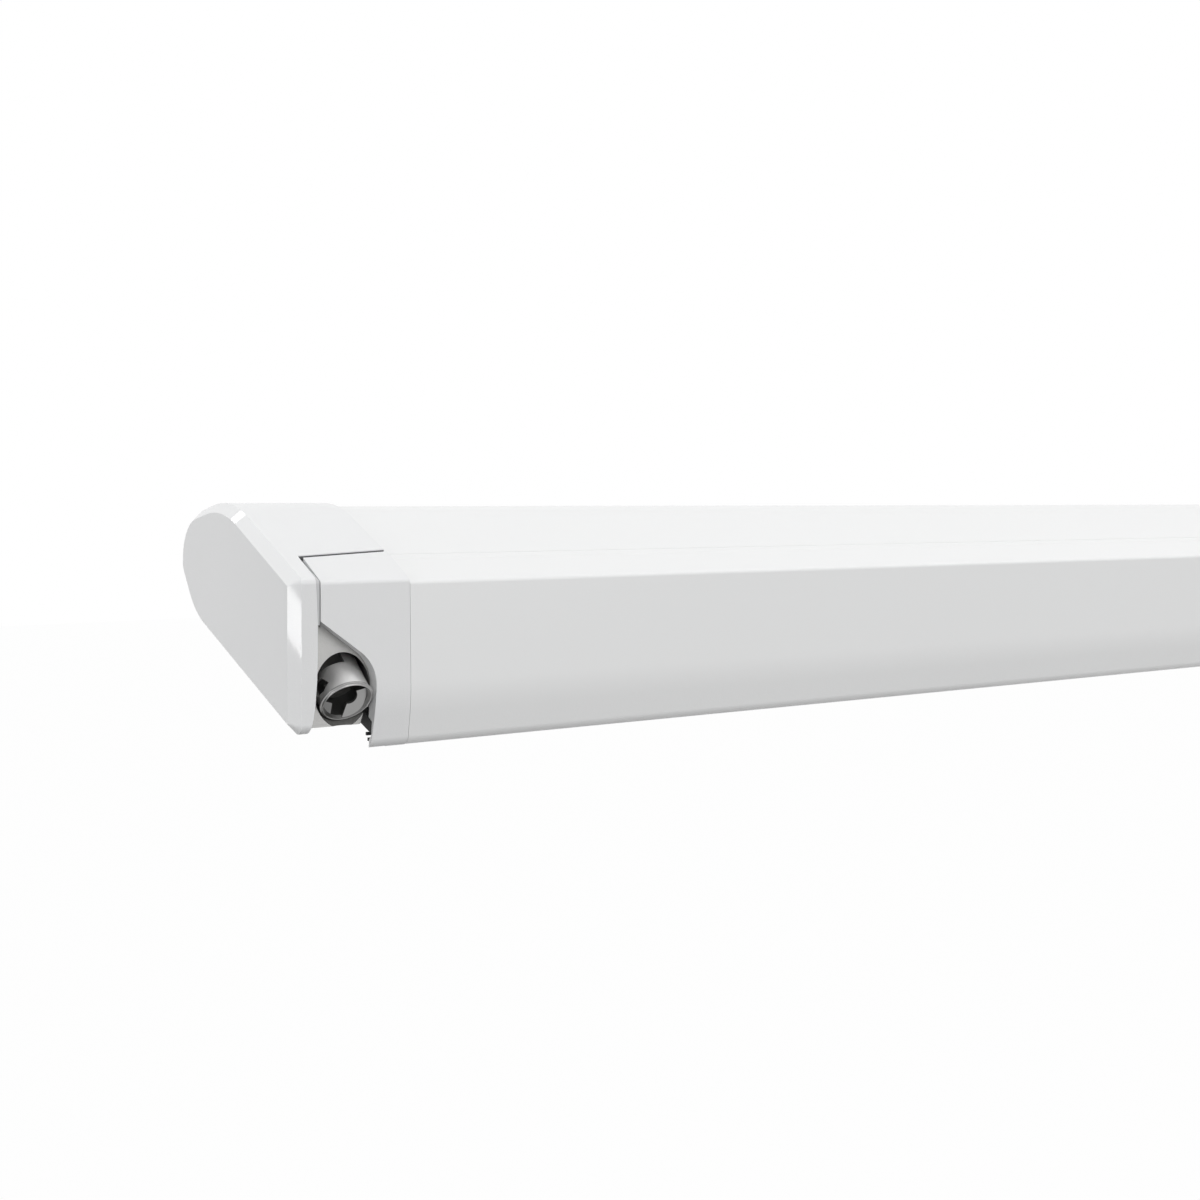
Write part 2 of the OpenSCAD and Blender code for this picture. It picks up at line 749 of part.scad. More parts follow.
// Cloth between the roll and the lead rail
hem_len = 12;
hem_y = rail_y + slide_gap;
web_start = [hem_y + hem_len + slide_gap, keder_c[1]];
web_turn = [roller_y, roller_z] - web_start;
web_r = roller_r + wound_t + slide_gap;
web_rise = atan2(web_turn[1], web_turn[0]) + asin(web_r / norm(web_turn));
web_len = sqrt(web_turn * web_turn - web_r * web_r);
module cloth_web() {
  color(cloth_grey) along_x(-cloth_w / 2, cloth_w / 2) translate(web_start) rotate(web_rise)
    square([web_len, cloth_t]);
}
module cloth_hem() {
  color(cloth_grey) along_x(-cloth_w / 2, cloth_w / 2)
    translate([hem_y, keder_c[1] - cloth_t / 2]) square([hem_len, cloth_t]);
}
module cloth_keder() {
  color(cloth_grey) along_x(-cloth_w / 2, cloth_w / 2) translate(keder_c) {
    circle(r = keder_r - slide_gap);
    translate([0, -cloth_t / 2]) square([rail_y - keder_c[0] - 0.1, cloth_t]);
  }
}

// Arm pieces in the frame of a link: X along the tube from the shoulder or wrist pivot
module arm_tube() {
  along_x(knuckle_len, arm_reach - knuckle_len) bar_ring(arm_w, arm_h, arm_r, arm_wall);
}
module arm_plug(x0, x1) {
  along_x(x0, x1) rounded_bar(arm_w - 2 * arm_wall - 0.2, arm_h - 2 * arm_wall - 0.2, 2);
}
module tongue(bore) {
  difference() {
    union() {
      translate([0, 0, -tongue_h / 2]) cylinder(r = tongue_r, h = tongue_h);
      box(
        [0, -tongue_r * 0.8, -tongue_h / 2],
        [knuckle_len - collar_t + join, tongue_r * 0.8, tongue_h / 2]
      );
      along_x(knuckle_len - collar_t, knuckle_len) rounded_bar(arm_w, arm_h, arm_r);
      arm_plug(knuckle_len - join, knuckle_len + plug_len);
    }
    translate([0, 0, -arm_h]) cylinder(r = bore, h = 2 * arm_h);
  }
}
// One cheek of the elbow: its eye is beside the tube, by half the arm pitch
module elbow_cheek(z0, z1) {
  side = arm_pitch / 2;
  translate([arm_reach, 0, z0]) linear_extrude(z1 - z0) {
    translate([0, -side]) circle(r = elbow_r);
    polygon([
      [-knuckle_len + collar_t - join, -side + 1.5],
      [-knuckle_len + collar_t - join, arm_w / 2 - 1],
      [-8, arm_w / 2 - 1],
      [elbow_r * cos(45), -side + elbow_r * sin(45)],
      [0, -side]
    ]);
  }
}
module elbow_end(bore) {
  difference() {
    union() {
      children();
      along_x(arm_reach - knuckle_len, arm_reach - knuckle_len + collar_t) rounded_bar(arm_w, arm_h, arm_r);
      arm_plug(arm_reach - knuckle_len - plug_len, arm_reach - knuckle_len + join);
    }
    translate([arm_reach, -arm_pitch / 2, -arm_h]) cylinder(r = bore, h = 2 * arm_h);
  }
}
module inner_frame() {
  translate([shoulder_x, inner_y, arm_z]) children();
}
module fore_frame() {
  translate([shoulder_x, forearm_y, arm_z]) mirror([0, 1, 0]) children();
}
module inner_arm() {
  color(white) inner_frame() arm_tube();
}
module shoulder_knuckle() {
  color(alloy) inner_frame() tongue(pin_r + run_gap);
}
module elbow_fork() {
  color(alloy) inner_frame() elbow_end(pin_r) {
    elbow_cheek(-arm_h / 2, -arm_h / 2 + lug_t);
    elbow_cheek(arm_h / 2 - lug_t, arm_h / 2);
  }
}
module elbow_pin() {
  color(steel) translate([shoulder_x + arm_reach, elbow_y, 0]) pivot_pin(arm_h);
}
module arm_spring() {
  spring_r = arm_w / 2 - arm_wall - slide_gap;
  color(steel) inner_frame() translate([arm_reach - knuckle_len - plug_len - spring_len - 0.2, 0, 0])
    rotate([0, 90, 0])
    difference() {
      cylinder(r = spring_r, h = spring_len);
      translate([0, 0, -1]) cylinder(r = spring_r - 3, h = spring_len + 2);
    }
}
module forearm() {
  color(white) fore_frame() arm_tube();
}
module elbow_knuckle() {
  color(alloy) fore_frame() elbow_end(pin_r + run_gap) elbow_cheek(-tongue_h / 2, tongue_h / 2);
}
module wrist_knuckle(bore) {
  color(alloy) fore_frame() tongue(bore);
}
// The right wrist is where the loop of the two arms is opened, so its bore has room
open_wrist_gap = 0.3;
module left_inner_arm() { inner_arm(); }
module left_shoulder_knuckle() { shoulder_knuckle(); }
module left_elbow_fork() { elbow_fork(); }
module left_elbow_pin() { elbow_pin(); }
module left_arm_spring() { arm_spring(); }
module left_forearm() { forearm(); }
module left_elbow_knuckle() { elbow_knuckle(); }
module left_wrist_knuckle() { wrist_knuckle(pin_r + run_gap); }
module right_inner_arm() { on_right() inner_arm(); }
module right_shoulder_knuckle() { on_right() shoulder_knuckle(); }
module right_elbow_fork() { on_right() elbow_fork(); }
module right_elbow_pin() { on_right() elbow_pin(); }
module right_arm_spring() { on_right() arm_spring(); }
module right_forearm() { on_right() forearm(); }
module right_elbow_knuckle() { on_right() elbow_knuckle(); }
module right_wrist_knuckle() { on_right() wrist_knuckle(pin_r + open_wrist_gap); }

// Lead rail
boss_wall = 1.6;
channel_lip = 2.6;
channel_cut = 12;
module rail_lip() {
  polygon([
    [rail_y - rail_wall, top_z(rail_y - rail_wall, cap_lap + rail_wall)],
    [rail_y, top_z(rail_y, cap_lap)],
    [rail_lip_y, top_z(rail_lip_y, cap_lap)],
    [rail_lip_y, top_z(rail_lip_y, cap_lap + rail_wall)]
  ]);
}
module lead_rail() {
  shelf_t = rail_wall;
  boss_z0 = keder_c[1] - keder_r - boss_wall;
  color(white) difference() {
    along_x(rail_x, -rail_x) difference() {
      union() {
        polygon(rounded(rail_corners));
        rail_lip();
      }
      difference() {
        polygon(rounded(inset(rail_corners, rail_wall)));
        translate([front_y, shelf_z - shelf_t]) square([seam_back, shelf_t]);
        translate([keder_c[0] - keder_r - boss_wall, boss_z0]) square([2 * keder_r + 4 * boss_wall, far]);
      }
      translate([front_y + rail_tuck + channel_lip, rail_bottom_z - channel_cut / 2])
        square([rail_y - rail_wall - front_y - rail_tuck - channel_lip, channel_cut]);
      translate(keder_c) circle(r = keder_r);
      translate([keder_c[0], keder_c[1] - slit / 2]) square([far, slit]);
    }
    for (m = [0, 1]) mirror([m, 0, 0]) wrist_screw_places() translate([0, 0, -6])
      cylinder(r = wrist_screw_r, h = 12);
    for (m = [0, 1]) mirror([m, 0, 0]) translate([leg_x, rail_y + 1, leg_z]) rotate([90, 0, 0])
      cylinder(r = leg_pin_r, h = rail_wall + 2);
  }
}
// Crank cut-out, as an outline in X and Z, grown by a margin
module crank_cut(margin) {
  edge_x = 4;
  rise = tan(cut_slope);
  polygon(rounded(inset([
    [edge_x, cut_corner[1] + (cut_corner[0] - edge_x) * rise, 0.3],
    [cut_corner[0], cut_corner[1], cut_corner[2]],
    [cut_foot_x, rail_bottom_z - 10, 0.3],
    [edge_x, rail_bottom_z - 10, 0.3]
  ], -margin)));
}
plug_in = 28;
// Slanting foot of the cut-out's return wall, front to back
lip_front = front_y + 4.2;
lip_back = front_y + 14.5;
lip_rise = 5.2;
module foot_opening() {
  polygon([
    [lip_front, cut_foot_z],
    [lip_back, cut_foot_z + lip_rise],
    [0, cut_foot_z + lip_rise],
    [0, -far],
    [lip_front + 2.4, -far],
    [lip_front + 2.4, cut_foot_z - 9.5],
    [lip_front, cut_foot_z - 7]
  ]);
}
// Top plate of the rail caps, flush with the end cap's flange, and the ledge under the groove
plate_wall = 1.8;
ledge_in = 2.9;
ledge_t = 1.6;
ledge_reach = 4;
module cap_slab(x1, inside, t, back) {
  intersection() {
    along_x(cap_x0, x1) polygon([
      [rail_cap_back, top_z(rail_cap_back, inside)],
      [roof_y + far / 20, top_z(roof_y + far / 20, inside)],
      [roof_y + far / 20, top_z(roof_y + far / 20, inside + t)],
      [rail_cap_back - rail_cap_wall, top_z(rail_cap_back - rail_cap_wall, inside + t)]
    ]);
    translate([0, 0, -far]) linear_extrude(2 * far) polygon([
      [cap_x0, front_y],
      [x1, front_y],
      [x1, groove_y(x1) - back],
      [cap_x0, groove_y(cap_x0) - back]
    ]);
  }
}
module rail_cap(open) {
  inner = inset(rail_cap_corners, rail_cap_wall);
  color(cap_white) difference() {
    union() {
      along_x(cap_x0, cap_x1) polygon(rounded(rail_cap_corners));
      cap_slab(cap_x1, 0, plate_wall, groove_w);
      cap_slab(cassette_x - 1, ledge_in, ledge_t, groove_w - ledge_reach);
      box(
        [cap_x1 - join, front_y + rail_lean + rail_wall + 2, shelf_z + slide_gap],
        [cap_x1 + plug_in, keder_c[0] - keder_r - 2.2, keder_c[1] - keder_r - 5.2]
      );
    }
    difference() {
      along_x(cap_x0 + rail_cap_wall, cap_x1 - rail_cap_wall) {
        polygon(rounded(inner));
        translate([rail_cap_back - rail_cap_wall - 1, inner[4][1] + 0.3])
          square([rail_cap_wall + 2, inner[2][1] - inner[4][1] - 0.6]);
      }
      if (open) along_y(front_y - 5, front_y + return_depth) translate([out_x, 0]) crank_cut(rail_cap_wall);
    }
    if (open) along_y(front_y - 5, 0) translate([out_x, 0]) crank_cut(0);
    if (open) along_x(cap_x0 - 1, out_x + foot_open_w) foot_opening();
  }
}
module left_rail_cap() {
  rail_cap(true);
}
module right_rail_cap() {
  on_right() rail_cap(false);
}
// Toothed rubber lip that closes the foot of the crank cut-out
lip_x = out_x + cut_foot_x + 0.6;
lip_w = 1.8;
lip_back_w = 5.4;
lip_drop = 6;
seat_gap = 0.1;
tooth = 1.6;
teeth = [[lip_front + 4.6, -85.6], [lip_front + 2.5, -88.2]];
module rail_gasket() {
  color(black) {
    along_x(lip_x, lip_x + lip_w) polygon([
      [lip_front + seat_gap, cut_foot_z - seat_gap],
      [lip_back, cut_foot_z + lip_rise - seat_gap],
      [lip_back + lip_w, cut_foot_z + lip_rise],
      [lip_back + lip_w, cut_foot_z - 2],
      [lip_front + seat_gap, cut_foot_z - lip_drop]
    ]);
    along_x(lip_x, lip_x + lip_back_w) polygon([
      [lip_front + 5.8, cut_foot_z - 3],
      [lip_front + 5.8, cut_foot_z],
      [lip_front + 8.8, cut_foot_z],
      [lip_front + 8.8, cut_foot_z - 3]
    ]);
    along_x(lip_x + lip_back_w - 1, lip_x + lip_back_w) polygon([
      [lip_front + 2.5, teeth[1][1]],
      [lip_front + 2.5, cut_foot_z - 4],
      [lip_front + 8.8, cut_foot_z],
      [lip_front + 8.8, teeth[0][1]]
    ]);
    box(
      [lip_x, lip_back, cut_foot_z - 2],
      [lip_x + lip_back_w + 2, lip_back + lip_w, cut_foot_z + lip_rise + 0.9]
    );
    for (t = teeth) box([lip_x, t[0], t[1]], [lip_x + lip_back_w, t[0] + tooth, t[1] + tooth]);
  }
}

// Wrist brackets on the back of the rail
wrist_base_t = 3.5;
wrist_base_w = 52;
wrist_screw_r = 2.5;
wrist_screw_len = 8;
wrist_head_r = 4;
wrist_head_h = 2.6;
module wrist_screw_places() {
  for (sx = [-1, 1], sz = [-1, 1])
    translate([shoulder_x + sx * (wrist_base_w / 2 - 6), rail_y + wrist_base_t, arm_z + 1 + sz * 8])
      rotate([-90, 0, 0]) children();
}
module wrist_bracket() {
  color(alloy) difference() {
    union() {
      box(
        [shoulder_x - wrist_base_w / 2, rail_y, arm_z - arm_h / 2 + 3],
        [shoulder_x + wrist_base_w / 2, rail_y + wrist_base_t, arm_z + arm_h / 2]
      );
      translate([shoulder_x, forearm_y, 0]) mirror([0, 1, 0])
        fork_lugs(tongue_r + 1, forearm_y - rail_y, 2 * tongue_r + 2);
    }
    translate([shoulder_x, forearm_y, arm_z - arm_h]) cylinder(r = pin_r, h = 2 * arm_h);
    wrist_screw_places() translate([0, 0, -12]) cylinder(r = wrist_screw_r, h = 24);
  }
}
module left_wrist_bracket() {
  wrist_bracket();
}
module right_wrist_bracket() {
  on_right() wrist_bracket();
}
module wrist_pins() {
  color(steel) for (m = [0, 1]) mirror([m, 0, 0]) translate([shoulder_x, forearm_y, 0]) pivot_pin(arm_h);
}
module wrist_screws() {
  color(steel) for (m = [0, 1]) mirror([m, 0, 0]) wrist_screw_places()
    screw(wrist_screw_r, wrist_screw_len, wrist_head_r, wrist_head_h);
}

// Legs, folded along X inside the rail
module on_leg() {
  translate([leg_x, leg_y, leg_z]) children();
}
cheek_t = 2;
hinge_side = 3;
hinge_w = 2 * (leg_eye_r + hinge_side);
hinge_top = shelf_z - rail_wall;
module leg_hinge() {
  gap = leg_w / 2 + pass_gap;
  front = gap + cheek_t;
  x0 = leg_x - hinge_w / 2;
  x1 = leg_x + hinge_w / 2;
  difference() {
    union() {
      box([x0, leg_y - front, leg_z - leg_eye_r], [x1, leg_y - gap, hinge_top]);
      box([x0, leg_y + gap, leg_z - leg_eye_r], [x1, rail_y - rail_wall, hinge_top]);
      box([x0, leg_y - front, leg_z + leg_eye_r + hinge_side], [x1, rail_y - rail_wall, hinge_top]);
    }
    translate([leg_x, rail_y, leg_z]) rotate([90, 0, 0]) cylinder(r = leg_pin_r, h = seam_back);
  }
}
module leg_hinges() {
  color(grey_plastic) for (m = [0, 1]) mirror([m, 0, 0]) leg_hinge();
}
module leg_pins() {
  color(steel) for (m = [0, 1]) mirror([m, 0, 0]) translate([leg_x, rail_y, leg_z]) rotate([90, 0, 0])
    cylinder(r = leg_pin_r, h = rail_y - leg_y + leg_w / 2 + pass_gap + cheek_t);
}
leg_r = 3;
module leg_knuckle() {
  color(grey_plastic) on_leg() difference() {
    union() {
      translate([0, leg_w / 2, 0]) rotate([90, 0, 0]) cylinder(r = leg_eye_r, h = leg_w);
      box([0, -leg_w / 2, -leg_eye_r], [leg_neck - collar_t + join, leg_w / 2, leg_eye_r]);
      along_x(leg_neck - collar_t, leg_neck) rounded_bar(leg_w, leg_h, leg_r);
      along_x(leg_neck - join, leg_neck + plug_len) rounded_bar(inner_leg_w + 0.3, inner_leg_h + 0.3, 1.4);
    }
    translate([0, leg_w, 0]) rotate([90, 0, 0]) cylinder(r = leg_pin_r + run_gap, h = 2 * leg_w);
  }
}
tube_end = leg_len - foot_len - leg_collar_len;
module leg_tube() {
  color(alloy) on_leg() along_x(leg_neck, tube_end) bar_ring(leg_w, leg_h, leg_r, leg_wall);
}
module leg_collar() {
  color(black) on_leg() along_x(tube_end, tube_end + leg_collar_len - 4) difference() {
    rounded_bar(leg_w, leg_h, leg_r);
    rounded_bar(inner_leg_w + slide_gap, inner_leg_h + slide_gap, 1.6);
  }
}
module leg_inner() {
  color(alloy) on_leg() along_x(inner_leg_start, leg_len - foot_len)
    bar_ring(inner_leg_w, inner_leg_h, 1.6, leg_wall);
}
module leg_foot() {
  color(black) on_leg() {
    along_x(leg_len - foot_len, leg_len) rounded_bar(leg_w, leg_h, leg_r);
    along_x(leg_len - foot_len - plug_len, leg_len - foot_len + join)
      rounded_bar(inner_leg_w - 2 * leg_wall - 0.2, inner_leg_h - 2 * leg_wall - 0.2, 0.8);
  }
}
module left_leg_knuckle() { leg_knuckle(); }
module left_leg_tube() { leg_tube(); }
module left_leg_collar() { leg_collar(); }
module left_leg_inner() { leg_inner(); }
module left_leg_foot() { leg_foot(); }
module right_leg_knuckle() { on_right() leg_knuckle(); }
module right_leg_tube() { on_right() leg_tube(); }
module right_leg_collar() { on_right() leg_collar(); }
module right_leg_inner() { on_right() leg_inner(); }
module right_leg_foot() { on_right() leg_foot(); }

scale(grow) {
  cassette_housing();
  left_end_cap();
  right_end_cap();
  end_cap_screws();
  cassette_seal();
  left_shoulder_bracket();
  right_shoulder_bracket();
  shoulder_pins();
  roller_bushes();
  bracket_screws();
  gearbox_housing();
  gearbox_screws();
  crank_socket();
  crank_worm();
  roller_tube();
  left_roller_plug();
  right_roller_plug();
  worm_wheel();
  cloth_roll();
  cloth_web();
  cloth_hem();
  left_inner_arm();
  left_shoulder_knuckle();
  left_elbow_fork();
  left_elbow_pin();
  left_arm_spring();
  right_inner_arm();
  right_shoulder_knuckle();
  right_elbow_fork();
  right_elbow_pin();
  right_arm_spring();
  left_forearm();
  left_elbow_knuckle();
  left_wrist_knuckle();
  right_forearm();
  right_elbow_knuckle();
  right_wrist_knuckle();
  lead_rail();
  left_rail_cap();
  right_rail_cap();
  cloth_keder();
  rail_gasket();
  left_wrist_bracket();
  right_wrist_bracket();
  wrist_pins();
  wrist_screws();
  leg_hinges();
  leg_pins();
  left_leg_knuckle();
  left_leg_tube();
  left_leg_collar();
  left_leg_inner();
  left_leg_foot();
  right_leg_knuckle();
  right_leg_tube();
  right_leg_collar();
  right_leg_inner();
  right_leg_foot();
}
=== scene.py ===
# %% [markdown]
# # A roll-out awning, closed
#
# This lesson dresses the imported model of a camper's roll-out awning: a long white cassette with
# a lead rail along its front, moulded end caps, and a crank winch that looks out of a cut-out at
# the left end. The solids come from the frame. Here they get their finishes, the moulded and cast
# pieces get the soft edges that a mould or a die leaves, the crank socket is modelled in full, and
# the cloth is laid in.

# %% Load the frame
import json
import math

import bmesh
import bpy
from mathutils import Matrix, Vector


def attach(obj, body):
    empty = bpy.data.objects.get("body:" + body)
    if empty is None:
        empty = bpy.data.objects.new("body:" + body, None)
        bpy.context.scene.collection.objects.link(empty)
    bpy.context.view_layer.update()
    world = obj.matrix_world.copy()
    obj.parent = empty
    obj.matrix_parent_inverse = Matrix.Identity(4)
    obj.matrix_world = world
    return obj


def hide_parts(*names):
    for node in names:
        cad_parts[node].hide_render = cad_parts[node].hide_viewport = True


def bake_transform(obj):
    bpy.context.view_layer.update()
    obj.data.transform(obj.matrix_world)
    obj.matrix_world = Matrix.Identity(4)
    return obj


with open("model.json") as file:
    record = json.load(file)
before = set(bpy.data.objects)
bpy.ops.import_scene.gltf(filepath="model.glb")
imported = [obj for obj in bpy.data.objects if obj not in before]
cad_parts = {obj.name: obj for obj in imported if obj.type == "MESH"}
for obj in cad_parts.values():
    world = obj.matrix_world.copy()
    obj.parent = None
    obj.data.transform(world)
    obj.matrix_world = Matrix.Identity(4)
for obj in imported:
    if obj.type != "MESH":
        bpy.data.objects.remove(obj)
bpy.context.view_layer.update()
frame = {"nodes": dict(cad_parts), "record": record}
mm = 0.001
scene = bpy.context.scene

# %% [markdown]
# ## Camera
#
# The camera stands a little above the top of the awning, in front of the left end, and looks
# level. It could be tilted down to the awning, but then upright edges would lean. The picture is
# shifted instead, so they stay upright.

# %% Camera
photo_side = 1200
focal_px = 1555
horizon_px = 501
camera_place = (-1.6021, -0.8818, 0.0344)
camera_turn = -34.06
lens = bpy.data.cameras.new("photo_lens")
lens.sensor_width = 36
lens.lens = lens.sensor_width * focal_px / photo_side
lens.shift_y = (horizon_px - photo_side / 2) / photo_side
lens.clip_start = 0.01
camera = bpy.data.objects.new("photo_camera", lens)
camera.location = camera_place
camera.rotation_euler = (math.radians(90), 0, math.radians(camera_turn))
scene.collection.objects.link(camera)
scene.camera = camera
print("lens", round(lens.lens, 2), "mm")

# %% [markdown]
# ## Writing finishes
#
# A finish is a small graph of shader nodes. It could be wired node by node, but that is long to
# read. Wrapping a socket in a class lets its maths be written as plain expressions, and one method
# makes every other kind of node.


# %% Sockets as numbers
class Field:
    """A socket of a finish. Sums and products of fields add Math nodes."""

    def __init__(self, finish, socket):
        self.finish, self.socket = finish, socket

    def calc(self, operation, a, b):
        return self.finish.add("ShaderNodeMath", {"operation": operation}, {0: a, 1: b})

    def __add__(self, other):
        return self.calc("ADD", self, other)

    def __mul__(self, other):
        return self.calc("MULTIPLY", self, other)

    __radd__ = __add__
    __rmul__ = __mul__


class Finish:
    """A material with one Principled shader, and the nodes that feed it."""

    def __init__(self, name):
        self.material = bpy.data.materials.new(name)
        self.material.use_nodes = True
        self.tree = self.material.node_tree
        self.shader = self.tree.nodes["Principled BSDF"]

    def add(self, kind, settings, inputs, output=0):
        made = self.tree.nodes.new(kind)
        for key, value in settings.items():
            setattr(made, key, value)
        for key, value in inputs.items():
            self.feed(made.inputs[key], value)
        return Field(self, made.outputs[output])

    def feed(self, socket, value):
        if isinstance(value, Field):
            self.tree.links.new(value.socket, socket)
        else:
            socket.default_value = value

    def place(self, scale=(1, 1, 1)):
        here = self.add("ShaderNodeTexCoord", {}, {}, "Object")
        return self.add("ShaderNodeMapping", {}, {"Vector": here, "Scale": scale})

    def grain(self, scale, detail=2.0, rough=0.5, stretch=(1, 1, 1)):
        inputs = {
            "Vector": self.place(stretch), "Scale": scale, "Detail": detail, "Roughness": rough,
        }
        return self.add("ShaderNodeTexNoise", {}, inputs)

    def tone(self, factor, low, high):
        settings = {"data_type": "RGBA"}
        return self.add("ShaderNodeMix", settings, {0: factor, 6: (*low, 1), 7: (*high, 1)}, 2)

    def relief(self, height, depth):
        inputs = {"Height": height, "Distance": depth, "Strength": 1.0}
        return self.add("ShaderNodeBump", {}, inputs)

    def surface(self, **sockets):
        for key, value in sockets.items():
            self.feed(self.shader.inputs[key.replace("_", " ")], value)
        return self


def shade(colour, share):
    return tuple(c * share for c in colour)


print("the finish helpers are ready")

# %% [markdown]
# ## White coat and white mouldings
#
# The extrusions are powder coated: a satin white body under a clear skin with a faint orange
# peel. The end caps are moulded in white plastic from a spark-eroded mould, so they carry a finer,
# sharper grain and look a trace greyer beside the metal. Photographs of such skins could be tiled
# over the pieces, but noise on Object coordinates has no seams. A thin coat on the shader gives
# the crisp reflections along the chamfers, while the body under it stays satin.

# %% White finishes
peel_depth = 0.03 * mm
spark_depth = 0.06 * mm


def powder_coat(name, colour):
    f = Finish(name)
    peel = f.grain(700)
    drift = f.grain(5)
    f.surface(Base_Color=f.tone(drift, shade(colour, 0.985), colour))
    f.surface(Roughness=0.34 + 0.08 * peel, Normal=f.relief(peel, peel_depth), IOR=1.5)
    f.surface(Coat_Weight=0.35, Coat_Roughness=0.12)
    return f.material


def moulded(name, colour, coat=0.0, gloss=0.5):
    f = Finish(name)
    spark = f.grain(1700, 3.0, 0.6)
    drift = f.grain(9)
    mottle = 0.6 * drift + 0.4 * spark
    f.surface(Base_Color=f.tone(mottle, shade(colour, 0.95), shade(colour, 1.02)))
    f.surface(Roughness=0.38 + 0.14 * spark, Normal=f.relief(spark, spark_depth), IOR=1.48)
    f.surface(Coat_Weight=coat, Coat_Roughness=0.03, Specular_IOR_Level=gloss)
    return f.material


finishes = {
    "coated_alloy": powder_coat("powder_coat", (0.86, 0.865, 0.865)),
    "cap_plastic": moulded("cap_moulding", (0.85, 0.855, 0.86), coat=0.5, gloss=0.08),
    "dark_plastic": moulded("black_moulding", (0.025, 0.025, 0.027)),
    "grey_plastic": moulded("grey_moulding", (0.20, 0.20, 0.21)),
}
print(sorted(finishes))

# %% [markdown]
# ## Metals
#
# The winch and the arm joints are die cast and blasted, with a grey, slightly blotchy skin. The
# crank socket has the same fine skin in three steels: bright on the turned outside; duller on the
# pressed rim and plate, a tone that is partly the pressed steel and partly painted shade of the
# recess and of the windows' cut edges; and darker still inside, as painted shade of the bore, the
# deep base and the plate's left lobe under the rim. The tubes are drawn and anodised, so fine lines
# run along them. Pins and screws are zinc plated, and the worm wheel is turned from bronze. One
# plain grey metal would do for a sketch. Two recipes, one even and one stretched along the piece,
# tell cast metal from drawn metal.

# %% Metal finishes
skin_depth = 0.08 * mm
line_depth = 0.02 * mm


def cast_metal(name, colour, rough):
    f = Finish(name)
    skin = f.grain(900, 3.0, 0.65)
    blotch = f.grain(60, 3.0)
    f.surface(Base_Color=f.tone(blotch, shade(colour, 0.86), shade(colour, 1.06)), Metallic=0.9)
    f.surface(Roughness=rough + 0.16 * skin, Normal=f.relief(skin, skin_depth))
    return f.material


def drawn_metal(name, colour, rough, stretch):
    f = Finish(name)
    lines = f.grain(900, 2.0, 0.6, stretch)
    blotch = f.grain(25)
    mottle = 0.5 * lines + 0.5 * blotch
    f.surface(Base_Color=f.tone(mottle, shade(colour, 0.9), shade(colour, 1.05)))
    f.surface(Metallic=1.0, Roughness=rough + 0.16 * lines, Normal=f.relief(lines, line_depth))
    return f.material


finishes["cast_alloy"] = cast_metal("cast_alloy", (0.43, 0.427, 0.42), 0.40)
finishes["turned_steel"] = cast_metal("turned_steel", (0.70, 0.696, 0.69), 0.27)
# the duller steel is partly the pressed finish and partly painted shade of the recess and of the
# windows' cut edges
finishes["pressed_steel"] = cast_metal("pressed_steel", (0.35, 0.348, 0.344), 0.25)
# painted shade: a darker copy of the same steel for the inside of the bore, the deep base and the
# left lobe in the rim's shadow
finishes["dark_steel"] = cast_metal("dark_steel", (0.21, 0.209, 0.207), 0.34)
finishes["mill_alloy"] = drawn_metal("drawn_tube", (0.72, 0.72, 0.73), 0.26, (0.02, 1, 1))
finishes["steel"] = drawn_metal("zinc_plate", (0.56, 0.555, 0.55), 0.24, (1, 1, 1))
finishes["bronze"] = drawn_metal("turned_bronze", (0.62, 0.44, 0.20), 0.26, (0.1, 1, 1))
print(sorted(finishes))

# %% [markdown]
# ## Rubber and cloth
#
# Seals are matte black rubber. The cloth is a coated grey weave. A crossed weave would stretch as
# the cloth is drawn out, so only its ribs are shown. They run towards the rail: the pattern depends
# on the place along the awning alone, and stays right as it unrolls.

# %% Soft finishes
pore_depth = 0.05 * mm
rib_depth = 0.1 * mm


def rubber(name):
    f = Finish(name)
    pores = f.grain(1400)
    f.surface(Base_Color=f.tone(pores, (0.012, 0.012, 0.012), (0.03, 0.03, 0.03)))
    f.surface(Roughness=0.62 + 0.2 * pores, Normal=f.relief(pores, pore_depth))
    return f.material


def awning_cloth(name, colour):
    f = Finish(name)
    across = f.place((1, 0, 0))
    bands = {"bands_direction": "X"}
    rib = f.add("ShaderNodeTexWave", bands, {"Vector": across, "Scale": 210.0}, 1)
    slub = f.add("ShaderNodeTexNoise", {}, {"Vector": across, "Scale": 160.0, "Detail": 3.0})
    weave = 0.55 * rib + 0.45 * slub
    f.surface(Base_Color=f.tone(weave, shade(colour, 0.8), shade(colour, 1.08)))
    f.surface(Roughness=0.72 + 0.12 * slub, Normal=f.relief(rib, rib_depth))
    return f.material


finishes["rubber"] = rubber("seal_rubber")
finishes["cloth"] = awning_cloth("awning_cloth", (0.42, 0.43, 0.45))
print(sorted(finishes))

# %% [markdown]
# ## Finishes on the solids
#
# Each solid's row in the record names the stuff that it is made of. A list of pieces could be
# typed here, but reading that row keeps the finishes right when a piece is added.

# %% Finishes on the solids
slots = {row["node"]: row["material_slot"] for row in frame["record"]["subparts"]}
bodies = frame["record"]["behaviour"]["bodies"]
node_body = {node: body for body, nodes in bodies.items() for node in nodes}


def wear(piece, finish):
    piece.data.materials.clear()
    piece.data.materials.append(finish)


for node, solid in frame["nodes"].items():
    wear(solid, finishes[slots[node]])
print(len(slots), "solids have a finish")

